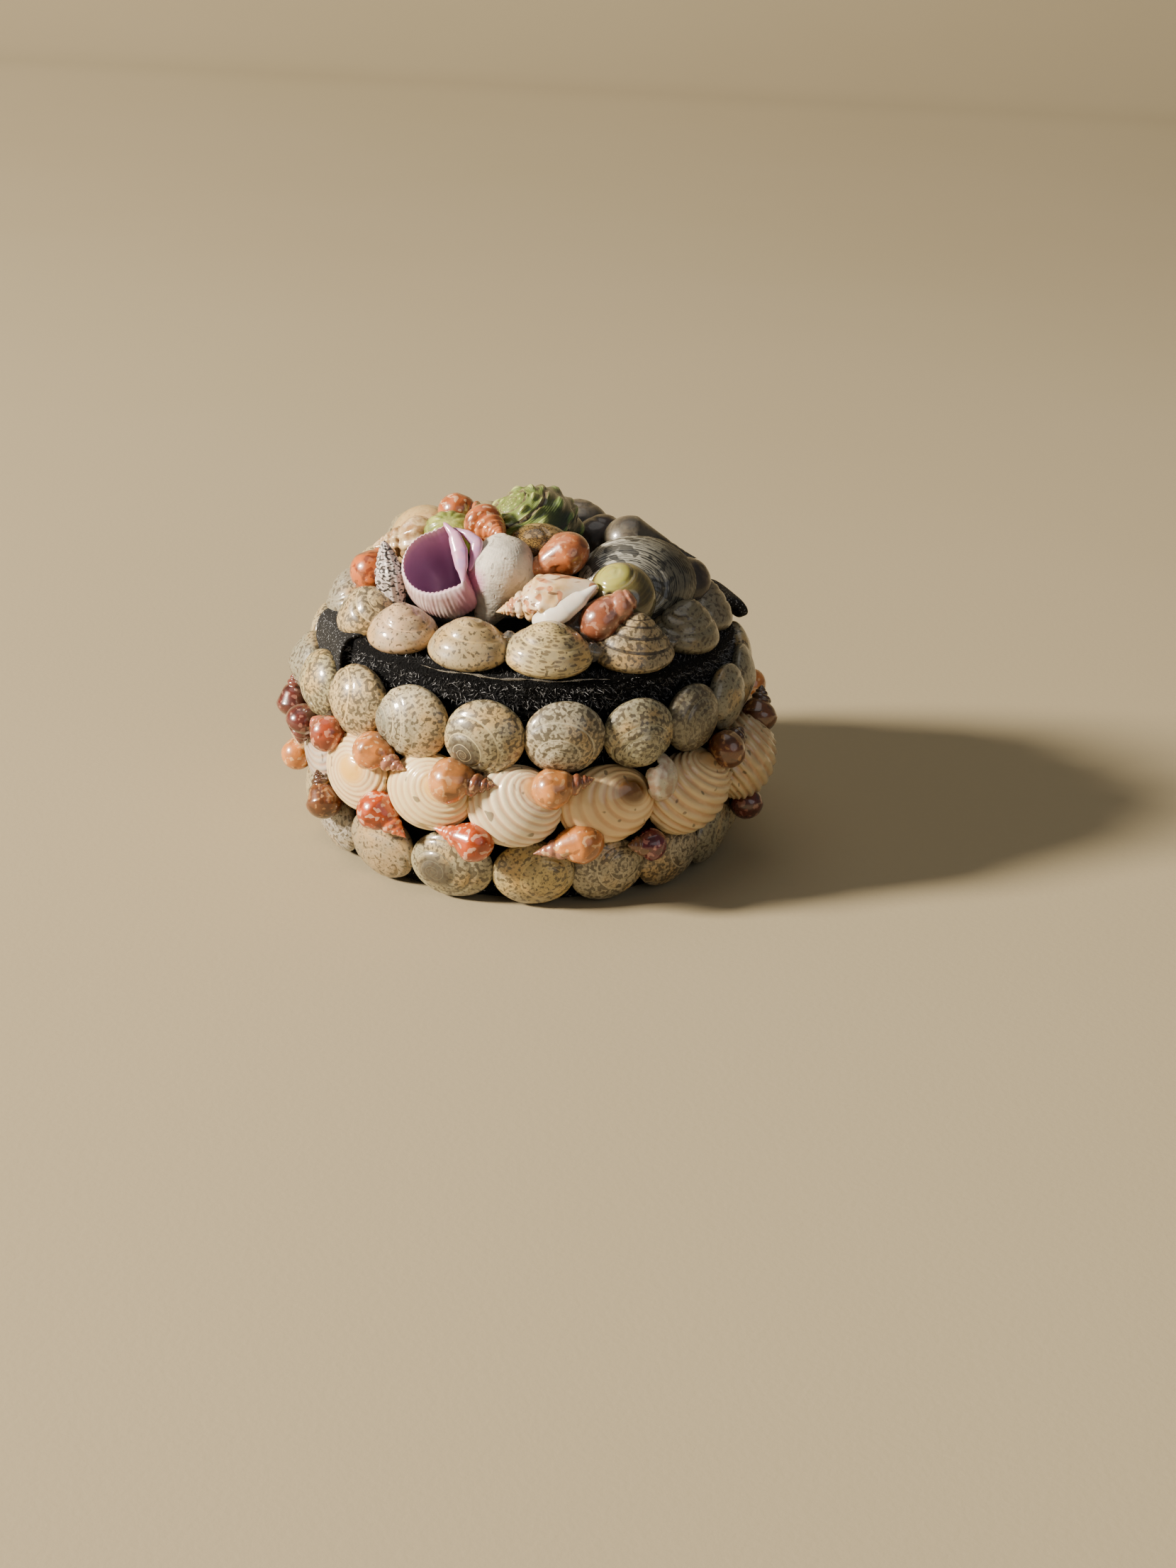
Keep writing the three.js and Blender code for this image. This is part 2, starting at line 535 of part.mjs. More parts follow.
// [name, shape, sides, middle, way its +Z points, size, turn, colour and roughness]
const LID_SHELLS = [
  ["lid_moon_shell", nerite, 10, [15.6, -19.4, 51.2], [0.1, -0.8, 0.58], [12, 11.8, 9], 0, OLIVE_YELLOW],
  ["lid_snail_01", snail, 7, [13.2, -25.5, 49.2], [-0.7, -0.1, -0.7], [7.8, 7.4, 11.4], 0, TAN_ORANGE],
  ["lid_snail_02", snail, 7, [4.6, -13, 55.6], [-0.85, -0.2, -0.4], [8.8, 8.4, 12.4], 0, ORANGE],
  ["lid_snail_03", snail, 7, [-8.4, -5.5, 58.6], [0.5, -0.75, -0.3], [8, 7.8, 9.6], 0, ORANGE],
  ["lid_netted_shell", nerite, 11, [0.9, -5, 55.4], [0, -0.4, 0.92], [11.4, 9.6, 8.4], 0, NETTED_OLIVE],
  ["lid_ribbed_shell", nerite, 12, [20, -9.2, 51.2], [0.3, -0.6, 0.74], [23, 18.4, 12.5], 30, RIBBED_GREY],
  ["lid_green_turban", turban, 12, [0.8, 4.8, 54.2], [0.2, -0.1, 0.97], [21.4, 17.4, 19.8], 0, TURBAN_GREEN],
  ["lid_snail_04", snail, 7, [-28.6, -5.4, 50.4], [-0.1, -0.25, -0.95], [7.4, 7.4, 9.6], 0, MOTTLED_RED],
  ["lid_spotted_spindle", spindle, 8, [-24.2, -12.6, 49.8], [0.04, 0.2, 1], [6.8, 6.4, 13.8], 0, SPOTTED],
  ["lid_snail_05", snail, 7, [-13.2, 8, 57.8], [0.95, -0.1, 0.1], [6.8, 6.6, 9.8], 0, ORANGE],
  ["lid_pale_green_shell", nerite, 9, [-15.4, 1.6, 55.2], [-0.1, -0.3, 0.95], [9.6, 8.8, 7.4], 0, PALE_GREEN],
  ["lid_banded_shell", ribbed, 10, [-23.4, 3.8, 52.6], [-0.95, 0, -0.2], [8.4, 8.6, 12.6], 0, BANDED_TAN],
  ["lid_cream_shell", nerite, 10, [-20.4, 13, 51.2], [-0.2, 0, 0.97], [15, 13, 10.8], 0, WARM_CREAM],
  ["lid_pointed_shell", spindle, 10, [19.8, 4.6, 52.0], [0.92, 0.1, -0.3], [9.6, 9.8, 18], 0, POINTED_BROWN],
  ["lid_brown_shell_01", nerite, 9, [12.2, 12.6, 51.6], [0.1, -0.2, 0.97], [11.6, 10, 9.6], 0, DARK_BROWN],
  ["lid_brown_shell_02", nerite, 10, [8.2, 20.6, 50.8], [0.2, 0.3, 0.93], [13.2, 12.4, 12.4], 0, DARK_GREY],
  ["lid_brown_shell_03", button, 10, [28, -2.4, 49.2], [0.75, -0.3, 0.6], [10, 9.6, 6.4], 0, BROWN],
];
for (const [name, unit, sides, middle, axis, size, turn, look] of LID_SHELLS) {
  const shape = centred(unit, sides, middle, axis, size, turn);
  const grown = centred(unit, sides, middle, axis, size, turn, GROWN);
  addPiece(name, shape, look, grown, [lidKeepOut]);
}

// Shells on the far side of the pile, each group stuck together: [middle, axis, size]
const BACK_LEFT = [
  [[-22.5, 20.5, 48.6], [-0.55, 0.5, 0.68], [12, 11.4, 9]],
  [[-13.6, 24.2, 49], [-0.3, 0.66, 0.68], [12, 11.4, 9]],
  [[-9.6, 16.8, 54], [-0.25, 0.3, 0.92], [12.4, 12, 9]],
  [[-3.4, 23.4, 51], [0, 0.6, 0.8], [12, 12, 10]],
];
const BACK_RIGHT = [
  [[6.6, 27.6, 46.6], [0.2, 0.72, 0.66], [11.6, 11, 9]],
  [[15.6, 21.6, 47], [0.4, 0.6, 0.7], [11.6, 11.4, 9]],
  [[22.4, 14.6, 46.8], [0.65, 0.4, 0.65], [11.6, 11, 8.6]],
];

function shellGroup(list, grow = 0) {
  const shells = list.map(([middle, axis, size], i) => {
    const unit = i % 2 ? nerite : button;
    return centred((sides) => unit(sides, true), 7, middle, axis, size, 45 * i, grow);
  });
  return shells.reduce((all, one) => all.add(one));
}

const backLeftGrown = shellGroup(BACK_LEFT, GROWN);
const backRightGrown = shellGroup(BACK_RIGHT, GROWN);
addPiece("lid_back_shells_left", shellGroup(BACK_LEFT), GREY_CREAM, backLeftGrown, [lidKeepOut]);
addPiece("lid_back_shells_right", shellGroup(BACK_RIGHT), CREAM, backRightGrown, [lidKeepOut]);
addPiece("lid_pull_tab", tab, FELT);
addPiece("hinge_lid_strip", hingeAbove, FELT);

// ---- Hand over ----
const group = new THREE.Group();
for (const { name, solid, look } of pieces) {
  const material = new THREE.MeshStandardMaterial({ color: look[0], roughness: look[1], metalness: 0 });
  const mesh = new THREE.Mesh(toGeometry(solid), material);
  mesh.name = name;
  group.add(mesh);
}

export default group;
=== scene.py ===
import math
import bpy
import numpy as np
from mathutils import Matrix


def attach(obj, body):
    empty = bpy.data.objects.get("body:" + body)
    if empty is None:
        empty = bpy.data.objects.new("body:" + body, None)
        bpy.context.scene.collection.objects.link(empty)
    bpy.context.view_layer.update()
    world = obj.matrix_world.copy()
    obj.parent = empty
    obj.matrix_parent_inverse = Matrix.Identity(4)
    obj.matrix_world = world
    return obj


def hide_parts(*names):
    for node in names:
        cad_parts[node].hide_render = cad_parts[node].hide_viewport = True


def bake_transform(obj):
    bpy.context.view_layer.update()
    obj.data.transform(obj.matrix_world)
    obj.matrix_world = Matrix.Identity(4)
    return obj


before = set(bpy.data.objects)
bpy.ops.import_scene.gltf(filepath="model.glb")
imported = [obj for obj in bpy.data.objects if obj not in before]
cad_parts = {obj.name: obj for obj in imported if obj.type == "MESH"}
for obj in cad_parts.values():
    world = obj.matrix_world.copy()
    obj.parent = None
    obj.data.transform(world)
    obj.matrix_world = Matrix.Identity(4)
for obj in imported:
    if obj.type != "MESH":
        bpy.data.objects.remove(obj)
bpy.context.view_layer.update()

# ---- Card tub in black felt ----
# A round card tub with a flat floor, its wall drawn in towards the foot, covered inside and out in
# fluffy black felt. The felt shows between the rows of shells, under the lid and round the foot.
TUB_RADIUS = 37.3
TUB_FOOT_RADIUS = 35.2
TUB_WAIST = 15.0
TUB_HEIGHT = 35.8
TUB_WALL = 2.3
TUB_FLOOR = 2.4
SHOWN_SIDE_TURN = math.radians(-20)


def to_box(points):
    """Millimetre points of the shown side's frame, turned about Z onto the box's own frame, in metres."""
    c, s = math.cos(SHOWN_SIDE_TURN), math.sin(SHOWN_SIDE_TURN)
    turn = np.array([[c, s, 0], [-s, c, 0], [0, 0, 1]])
    return np.asarray(points, float) @ turn * 0.001


def closed_grid_faces(rings, columns):
    """Faces of a pole, rings of the same count of points and a second pole, turned outwards."""
    i = np.arange(rings - 1)[:, None]
    j = np.arange(columns)[None, :]
    a = 1 + i * columns + j
    b = 1 + i * columns + (j + 1) % columns
    quads = np.stack([a, a + columns, b + columns, b], axis=-1).reshape(-1, 4)
    k = np.arange(columns)
    n = (k + 1) % columns
    base = 1 + (rings - 1) * columns
    first = np.stack([0 * k, 1 + k, 1 + n], axis=-1)
    last = np.stack([base + n, base + k, np.full(columns, base + columns)], axis=-1)
    return quads.tolist() + first.tolist() + last.tolist()


def make_piece(name, points, faces, material, body, nodes=(), facts=None, soft=True):
    """A mesh object at the origin from box-frame points, with one attribute for each fact."""
    mesh = bpy.data.meshes.new(name)
    mesh.from_pydata(np.asarray(points, float).tolist(), [], faces)
    for key, values in (facts or {}).items():
        values = np.asarray(values, np.float32)
        kind, field = ("FLOAT", "value") if values.ndim == 1 else ("FLOAT_VECTOR", "vector")
        mesh.attributes.new(key, kind, "POINT").data.foreach_set(field, values.ravel())
    if soft:
        mesh.polygons.foreach_set("use_smooth", np.ones(len(mesh.polygons), bool))
    mesh.materials.append(material)
    mesh.update()
    piece = bpy.data.objects.new(name, mesh)
    bpy.context.scene.collection.objects.link(piece)
    if body:
        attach(piece, body)
    if nodes:
        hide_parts(*nodes)
    return piece


def unit(v):
    v = np.asarray(v, float)
    return v / np.linalg.norm(v, axis=-1, keepdims=True)


def round_profile(corners, rounding, steps=7):
    """A line of [radius, height] corners with each inner corner replaced by a short quadratic curve."""
    corners = np.asarray(corners, float)
    line = [corners[0]]
    for before, here, after in zip(corners[:-2], corners[1:-1], corners[2:]):
        reach_in = min(rounding, np.linalg.norm(before - here) / 2)
        reach_out = min(rounding, np.linalg.norm(after - here) / 2)
        start = here + unit(before - here) * reach_in
        end = here + unit(after - here) * reach_out
        for t in np.linspace(0, 1, steps):
            line.append((1 - t) ** 2 * start + 2 * t * (1 - t) * here + t * t * end)
    line.append(corners[-1])
    return np.array(line)


def divided(line, longest):
    """The same line with points added so that no step is longer than the longest."""
    out = [line[0]]
    for a, b in zip(line[:-1], line[1:]):
        parts = max(1, int(np.ceil(np.linalg.norm(b - a) / longest)))
        out += [a + (b - a) * k / parts for k in range(1, parts + 1)]
    return np.array(out)


def felt_lumps(angle, height):
    """Slow waves round and up the wall, the lumps of felt stretched over card, in millimetres."""
    return (0.13 * np.sin(9 * angle + 1.3 * height) + 0.09 * np.sin(17 * angle - 0.9 * height + 2)
            + 0.06 * np.sin(41 * angle + 2.1 * height) + 0.04 * np.sin(73 * angle - 3.1 * height + 1))


def capped(first, rings, last):
    """All points of a closed surface: its first pole, its rings in order and its last pole."""
    return np.vstack([[first], rings.reshape(-1, 3), [last]])


def turned_felt(profile, columns):
    """A profile turned round Z, with the felt's lumps added to its radius wherever it is off the axis."""
    angle = np.arange(columns) / columns * 2 * np.pi
    radius = profile[1:-1, 0][:, None] + felt_lumps(angle[None, :], profile[1:-1, 1][:, None])
    height = profile[1:-1, 1][:, None] + 0 * angle[None, :]
    rings = np.stack([radius * np.cos(angle), radius * np.sin(angle), height], axis=-1)
    points = capped([0, 0, profile[0, 1]], rings, [0, 0, profile[-1, 1]])
    return points, closed_grid_faces(len(profile) - 2, columns)


def tint(code):
    """A hex colour as the linear numbers a shader wants."""
    parts = [int(code[i:i + 2], 16) / 255 for i in (0, 2, 4)]
    return tuple(p / 12.92 if p <= 0.04045 else ((p + 0.055) / 1.055) ** 2.4 for p in parts)


class Nodes:
    """A shader tree that is being written: each method adds a node and returns its output."""

    def __init__(self, tree):
        self.tree = tree

    def put(self, value, socket):
        """Links another node's output to a socket, or sets it. A colour is hex or three numbers."""
        if isinstance(value, bpy.types.NodeSocket):
            self.tree.links.new(value, socket)
        elif socket.type == "RGBA":
            socket.default_value = (*(tint(value) if isinstance(value, str) else value), 1)
        else:
            socket.default_value = value

    def add(self, kind, inputs, **settings):
        node = self.tree.nodes.new(kind)
        for key, value in settings.items():
            setattr(node, key, value)
        for key, value in inputs.items():
            self.put(value, node.inputs[key])
        return node.outputs

    def maths(self, operation, *values):
        return self.add("ShaderNodeMath", dict(enumerate(values)), operation=operation)[0]

    def times(self, a, b):
        return self.maths("MULTIPLY", a, b)

    def plus(self, a, b):
        return self.maths("ADD", a, b)

    def minus(self, a, b):
        return self.maths("SUBTRACT", a, b)

    def axes(self, vector):
        return self.add("ShaderNodeSeparateXYZ", {0: vector})

    def eased(self, value, low, high):
        """0 below low and 1 above high, with a smooth rise between them."""
        return self.add("ShaderNodeMapRange", {0: value, 1: low, 2: high}, interpolation_type="SMOOTHSTEP")[0]

    def faded(self, value, low, high):
        """1 below low and 0 above high, with a smooth fall between them."""
        return self.minus(1.0, self.eased(value, low, high))

    def mixed(self, share, a, b):
        return self.add("ShaderNodeMix", {0: share, 6: a, 7: b}, data_type="RGBA", clamp_factor=True)[2]


class Look(Nodes):
    """A material on the Principled shader. Its colour starts as one mix and takes layers over it."""

    def __init__(self, name, coat=None, glow=None, **constants):
        """Coat is a weight and a roughness, glow is the subsurface weight and scale."""
        self.material = bpy.data.materials.new(name)
        self.material.use_nodes = True
        super().__init__(self.material.node_tree)
        if coat:
            constants.update(coat_weight=coat[0], coat_roughness=coat[1])
        if glow:
            constants.update(subsurface_weight=glow[0], subsurface_scale=glow[1])
        self.inputs = self.tree.nodes["Principled BSDF"].inputs
        for key, value in constants.items():
            self.inputs[key.replace("_", " ").title().replace("Ior", "IOR")].default_value = value
        self.place = self.add("ShaderNodeTexCoord", {})["Object"]
        self.color = None

    def noise(self, scale, detail=3.0, rough=0.55, place=None):
        place = self.place if place is None else place
        return self.add("ShaderNodeTexNoise", {"Vector": place, "Scale": scale, "Detail": detail,
                                               "Roughness": rough})["Fac"]

    def stretched(self, scale, turn=(0, 0, 0)):
        """The place on the piece, turned and scaled along its axes."""
        return self.add("ShaderNodeMapping", {"Vector": self.place, "Rotation": turn, "Scale": scale})[0]

    def fact(self, name, field="Vector"):
        """One of the facts that the piece carries at every point."""
        return self.add("ShaderNodeAttribute", {}, attribute_name=name)[field]

    def clouded(self, mask, low, high, a, b):
        """Starts the colour: a where the mask is low and b where it is high."""
        self.color = self.mixed(self.eased(mask, low, high), a, b)

    def over(self, mask, color, share=None):
        """Lays a colour over the rest where the mask is 1, whole or at a share of its strength."""
        self.color = self.mixed(mask if share is None else self.times(mask, share), self.color, color)

    def done(self, roughness, height=None, depth=0.0, distance=0.0002):
        """Joins the colour, the roughness and a bump of the given height to the shader."""
        self.put(self.color, self.inputs["Base Color"])
        self.put(roughness, self.inputs["Roughness"])
        if height is not None:
            bump = self.add("ShaderNodeBump", {"Height": height, "Strength": depth, "Distance": distance})
            self.put(bump[0], self.inputs["Normal"])
        return self.material


def felt_material():
    """Matted wool: two sizes of noise make the tufts, with a sheen from the loose ends."""
    look = Look("black_fluffy_felt", sheen_weight=0.02, sheen_roughness=0.4, specular_ior_level=0.12)
    tufts = look.noise(1500, 5, 0.7)
    patches = look.noise(180, 2)
    fibre = look.add("ShaderNodeTexVoronoi", {"Vector": look.place, "Scale": 1950})["Distance"]
    look.color = look.mixed(look.times(look.eased(tufts, 0.42, 0.75), patches), "040405", "141416")
    return look.done(look.eased(patches, -1.5, 1.0), look.plus(tufts, look.times(fibre, 0.6)), 0.9, 0.0006)


black_felt = felt_material()

inside = TUB_RADIUS - TUB_WALL
foot_inside = TUB_FOOT_RADIUS - TUB_WALL
tub_profile = divided(round_profile([
    [0, 0], [TUB_FOOT_RADIUS, 0], [TUB_RADIUS, TUB_WAIST], [TUB_RADIUS, TUB_HEIGHT],
    [inside, TUB_HEIGHT], [inside, TUB_WAIST], [foot_inside, TUB_FLOOR], [0, TUB_FLOOR]], 0.9), 1.6)[::-1]
points, faces = turned_felt(tub_profile, 180)
points[:, 2] = np.maximum(points[:, 2], 0)
make_piece("tub_felt", to_box(points), faces, black_felt, "base", ["box_tub"])


def fibre_needles(roots, outwards, length, width, seed, glint_share):
    """Loose wool ends: slim three-sided needles, each a closed pyramid from its root towards a tip
    that leans at random off the surface. The tone of each is a random dark grey, and a share of them are
    pale: painted glints of light on the wool."""
    rng = np.random.default_rng(seed)
    count = len(roots)
    way = unit(0.55 * outwards + 0.62 * rng.normal(size=(count, 3)))
    side = unit(np.cross(way, rng.normal(size=(count, 3))))
    other = np.cross(way, side)
    spokes = [width * (math.cos(a) * side + math.sin(a) * other) for a in (0, 2.094, 4.189)]
    foot = roots - 0.08 * way
    tip = roots + way * (length * (0.45 + rng.random(count)))[:, None]
    points = np.stack([foot + spokes[0], foot + spokes[1], foot + spokes[2], tip], axis=1).reshape(-1, 3)
    first = 4 * np.arange(count)[:, None]
    corners = np.array([[0, 1, 3], [1, 2, 3], [2, 0, 3], [2, 1, 0]])
    faces = (first[:, :, None] + corners[None]).reshape(-1, 3).tolist()
    grey = 0.006 + 0.03 * rng.random(count) ** 3 + np.where(rng.random(count) < glint_share, 0.6, 0)
    return points, faces, np.repeat(grey[:, None] * [[1.0, 1.0, 1.03]], 4, axis=0)


def fibre_material():
    """Shiny black wool ends: the grey of each comes from its own tone, which in the pale ones is a painted
    glint.
    """
    look = Look("loose_wool_ends", roughness=0.45)
    look.color = look.mixed(look.noise(900), look.fact("tone"), (0.02, 0.02, 0.022))
    return look.done(look.eased(look.noise(400), -0.2, 1.2))


wool_ends = fibre_material()
WOOL_WIDTH = 0.055


def wall_roots(count, low, high, seed):
    """Random points on the tub's wall between two heights, with the way out at each."""
    rng = np.random.default_rng(seed)
    angle = rng.random(count) * 2 * np.pi
    height = low + (high - low) * rng.random(count)
    radius = np.interp(height, [0, TUB_WAIST, TUB_HEIGHT], [TUB_FOOT_RADIUS, TUB_RADIUS, TUB_RADIUS])
    radius = radius + felt_lumps(angle, height)
    outwards = np.stack([np.cos(angle), np.sin(angle), 0 * angle], axis=-1)
    return np.column_stack([outwards[:, :2] * radius[:, None], height]), outwards


# [count of wool ends, from height, to height, seed] of the bands left bare by the rows of shells
BARE_BANDS = ((3000, 0.5, 4.0, 3), (1500, 12.5, 15.5, 4), (9500, 26.5, 35.4, 5))
roots, outwards = (np.vstack(part) for part in zip(*(wall_roots(*band) for band in BARE_BANDS)))
# the last number is the share of pale wool ends, painted glints of light on the tub's felt
points, faces, tone = fibre_needles(roots, outwards, 0.8, WOOL_WIDTH, 6, 0.13)
points[:, 2] = np.maximum(points[:, 2], 0.02)
make_piece("tub_felt_fluff", to_box(points), faces, wool_ends, "base", facts={"tone": tone},
           soft=False)

# ---- Bottom row of button shells ----
# Low, glossy top shells of cream and grey with fine brown specks, glued side by side round the
# foot. Each is a ball whose radius follows the coil of the shell, pressed flat against the wall.


def coil_turned(apex):
    """Columns that carry a coil's own axes to the seat's: its +Z goes to the apex direction."""
    up = unit(apex)
    reference = np.array([0.0, 1, 0]) if abs(up[1]) < 0.9 else np.array([1.0, 0, 0])
    side = unit(np.cross(reference, up))
    return np.column_stack([side, np.cross(up, side), up])


def cone_share(points, share):
    """Draws the outer half of a ball towards a cone: a share of the height becomes 1 less a power
    of the distance from the middle, which leaves a soft keel all round."""
    size = np.linalg.norm(points, axis=1)
    spread = np.clip(np.hypot(points[:, 0], points[:, 1]) / size, 0, 1)
    cone = size * (1 - spread ** 1.3)
    upper = points[:, 2] > 0
    out = points.copy()
    out[upper, 2] = ((1 - share) * points[:, 2] + share * cone)[upper]
    return out


def ball_angles(rows, columns):
    """The polar angle and the turn at every ring point of a ball, the poles left out."""
    polar = np.linspace(0, np.pi, rows + 2)[1:-1]
    return np.meshgrid(polar, np.arange(columns) / columns * 2 * np.pi, indexing="ij")


def coiled_ball(rows, columns, half, apex, relief, growth, cone=0.0):
    """A ball round its apex, with polar angle and turn as the two parameters. Each point stands at
    1 plus the relief of its place on the coil, which is log(tan(polar / 2)) / log(growth) less the
    turn, so that one whole step of it is one whorl. The ball is then turned to its apex and scaled
    to its half sizes. Returns the points and each point's direction in the coil's own axes."""
    p, t = ball_angles(rows, columns)
    coil = np.stack([np.sin(p) * np.cos(t), np.sin(p) * np.sin(t), np.cos(p)], axis=-1)
    radius = 1 + relief(p, t, np.log(np.tan(p / 2)) / math.log(growth) - t / (2 * np.pi))
    ball = capped([0, 0, radius[0].mean()], coil * radius[..., None], [0, 0, -radius[-1].mean()])
    points = cone_share(ball @ coil_turned(apex).T, cone) * np.asarray(half)
    return points, capped([0, 0, 1], coil, [0, 0, -1])


def smooth(x, low, high):
    k = np.clip((np.asarray(x, float) - low) / (high - low), 0, 1)
    return k * k * (3 - 2 * k)


def hump(x, width):
    """1 at 0, falling off to both sides like a bell."""
    return np.exp(-((x / width) ** 2))


def on_whorl(place):
    """How far across its whorl a place on the coil is, and how far from the nearer seam."""
    f = place - np.floor(place)
    return f, np.minimum(f, 1 - f)


def button_relief(spire):
    """Rounded whorls parted by a fine groove near the apex, under a low spire; smooth elsewhere."""
    groove = 0.032

    def relief(p, t, place):
        f, edge = on_whorl(place)
        near = (1 - smooth(p, 1.0, 1.25)) * smooth(p, 0.05, 0.2)
        return (near * (0.9 * groove * np.sin(np.pi * f) - groove * hump(edge, 0.08))
                + spire * hump(p, 0.42) + 0.008 * np.sin(2 * t + 1) * smooth(p, 0.3, 1.2))
    return relief


def stood(points, at, axis):
    """Local x to the side, y to the top and z along the axis, moved to a place in the shown frame."""
    up = unit(axis)
    reference = np.array([0.0, 0, 1]) if abs(up[2]) < 0.999 else np.array([0.0, 1, 0])
    side = unit(np.cross(reference, up))
    top = np.cross(up, side)
    return np.asarray(at, float) + points[:, :1] * side + points[:, 1:2] * top + points[:, 2:] * up


class Heap:
    """Shells gathered into one mesh, each with its own facts at every point."""

    def __init__(self):
        self.points, self.faces, self.facts, self.count = [], [], {}, 0

    def put(self, points, faces, **facts):
        self.points.append(points)
        self.faces += [[i + self.count for i in face] for face in faces]
        self.count += len(points)
        for key, value in facts.items():
            value = np.asarray(value, float)
            if value.ndim == 0:
                value = np.full(len(points), float(value))
            elif value.ndim == 1 and len(value) == 3:
                value = np.tile(value, (len(points), 1))
            self.facts.setdefault(key, []).append(value)

    def make(self, name, material, body, nodes):
        facts = {key: np.concatenate(values) for key, values in self.facts.items()}
        points = to_box(np.vstack(self.points))
        return make_piece(name, points, self.faces, material, body, nodes, facts)


def all_seats(shown, hidden):
    """The shown seats and then the hidden ones, spread evenly over the rest of the circle."""
    count, *rest = hidden
    start, end = shown[-1][0], shown[0][0] + 360
    step = (end - start) / (count + 1)
    return list(shown) + [(start + step * (k + 1), *rest) for k in range(count)]


def half_way(seats, i):
    """Half of the way round to both neighbours, in radians."""
    before = seats[i - 1][0] - (360 if i == 0 else 0)
    after = seats[(i + 1) % len(seats)][0] + (360 if i == len(seats) - 1 else 0)
    return math.radians(after - before) / 4


def wall_shell(heap, seats, i, fine, back, tip, relief, look, **facts):
    """One shell of a row on the wall: the ball's middle stands a third of its height off the wall,
    and what would sink into the wall is pressed flat."""
    azimuth, z, tall, out = seats[i]
    rows, columns = fine
    a, lift = math.radians(azimuth), math.radians(tip)
    wide = 2 * (back + 0.35 * out) * math.sin(half_way(seats, i)) * 1.04
    points, coil = coiled_ball(rows, columns, (wide / 2, tall / 2, 0.66 * out), look["apex"], relief,
                               look["growth"], look["cone"])
    points[:, 2] = np.maximum(points[:, 2] + 0.34 * out, 0.0)
    axis = [math.cos(a) * math.cos(lift), math.sin(a) * math.cos(lift), math.sin(lift)]
    points = stood(points, [back * math.cos(a), back * math.sin(a), z], axis)
    points[:, 2] = np.maximum(points[:, 2], 0.05)
    heap.put(points, closed_grid_faces(rows, columns), coil=coil, growth=look["growth"], **facts)


def new_group(name, inputs, outputs):
    """A node group with its sockets: gives its writer, what comes in and what goes out."""
    group = bpy.data.node_groups.new(name, "ShaderNodeTree")
    for sockets, way in ((inputs, "INPUT"), (outputs, "OUTPUT")):
        for socket in sockets:
            kind = "NodeSocketVector" if socket in ("Coil", "Place") else "NodeSocketFloat"
            group.interface.new_socket(socket, in_out=way, socket_type=kind)
    start, end = group.nodes.new("NodeGroupInput"), group.nodes.new("NodeGroupOutput")
    return Nodes(group), start.outputs, end.inputs


def winding_group():
    """Where a point lies on its shell's coil: across one whorl from 0 to 1, how many turns from the
    apex, and how far from the apex to the far pole, all from the point's direction in the coil."""
    nodes, given, result = new_group("winding", ("Coil", "Growth"), ("Across", "Reach", "Turn"))
    way = nodes.add("ShaderNodeVectorMath", {0: given["Coil"]}, operation="NORMALIZE")[0]
    x, y, z = nodes.axes(way)
    flat = nodes.maths("SQRT", nodes.plus(nodes.times(x, x), nodes.times(y, y)))
    half_tangent = nodes.maths("DIVIDE", nodes.maths("MAXIMUM", flat, 0.001), nodes.plus(z, 1.001))
    climb = nodes.maths("DIVIDE", nodes.maths("LOGARITHM", half_tangent, math.e),
                        nodes.maths("LOGARITHM", given["Growth"], math.e))
    around = nodes.maths("DIVIDE", nodes.maths("ARCTAN2", y, x), 2 * math.pi)
    place = nodes.minus(climb, around)
    nodes.put(nodes.maths("FRACT", place), result["Across"])
    nodes.put(nodes.maths("DIVIDE", nodes.maths("ARCCOSINE", z), math.pi), result["Reach"])
    nodes.put(nodes.plus(nodes.maths("FLOOR", place), around), result["Turn"])
    return nodes.tree


def specks_group():
    """Specks: blots of uneven shape where a noise of the given size stands over a threshold, which
    a slower noise raises and lowers, so that they crowd in some places and thin out in others."""
    nodes, given, result = new_group("specks", ("Place", "Scale", "Share"), ("Mask",))
    blots, crowd = (nodes.add("ShaderNodeTexNoise", {"Vector": given["Place"], "Detail": detail,
                                                     "Scale": scale})["Fac"]
                    for detail, scale in ((0.6, given["Scale"]), (1.0, nodes.times(given["Scale"], 0.16))))
    wish = nodes.times(given["Share"], nodes.plus(crowd, 0.55))
    level = nodes.minus(blots, nodes.minus(0.68, nodes.times(wish, 0.12)))
    nodes.put(nodes.eased(level, 0.0, 0.05), result["Mask"])
    return nodes.tree


def dashes_group():
    """Dashes in rows along the coil: stretched cells in the coil's own turn and across."""
    nodes, given, result = new_group("dashes", ("Turn", "Across", "Along", "Rows", "Size"), ("Mask",))
    plane = nodes.add("ShaderNodeCombineXYZ", {0: nodes.times(given["Turn"], given["Along"]),
                                               1: nodes.times(given["Across"], given["Rows"])})[0]
    cells = nodes.add("ShaderNodeTexVoronoi", {"Vector": plane, "Scale": 1.0, "Randomness": 0.6},
                      voronoi_dimensions="2D")["Distance"]
    nodes.put(nodes.eased(nodes.minus(given["Size"], cells), -0.03, 0.05), result["Mask"])
    return nodes.tree


winding = winding_group()
specks = specks_group()
dashes = dashes_group()


class ShellLook(Look):
    """A look that also follows the shell's coil and scatters specks over it."""

    def group(self, tree, **inputs):
        return self.add("ShaderNodeGroup", inputs, node_tree=tree)

    def coil(self, growth):
        return self.group(winding, Coil=self.fact("coil"), Growth=growth)

    def specks(self, scale, share, place=None):
        place = self.place if place is None else place
        return self.group(specks, Place=place, Scale=scale, Share=share)["Mask"]


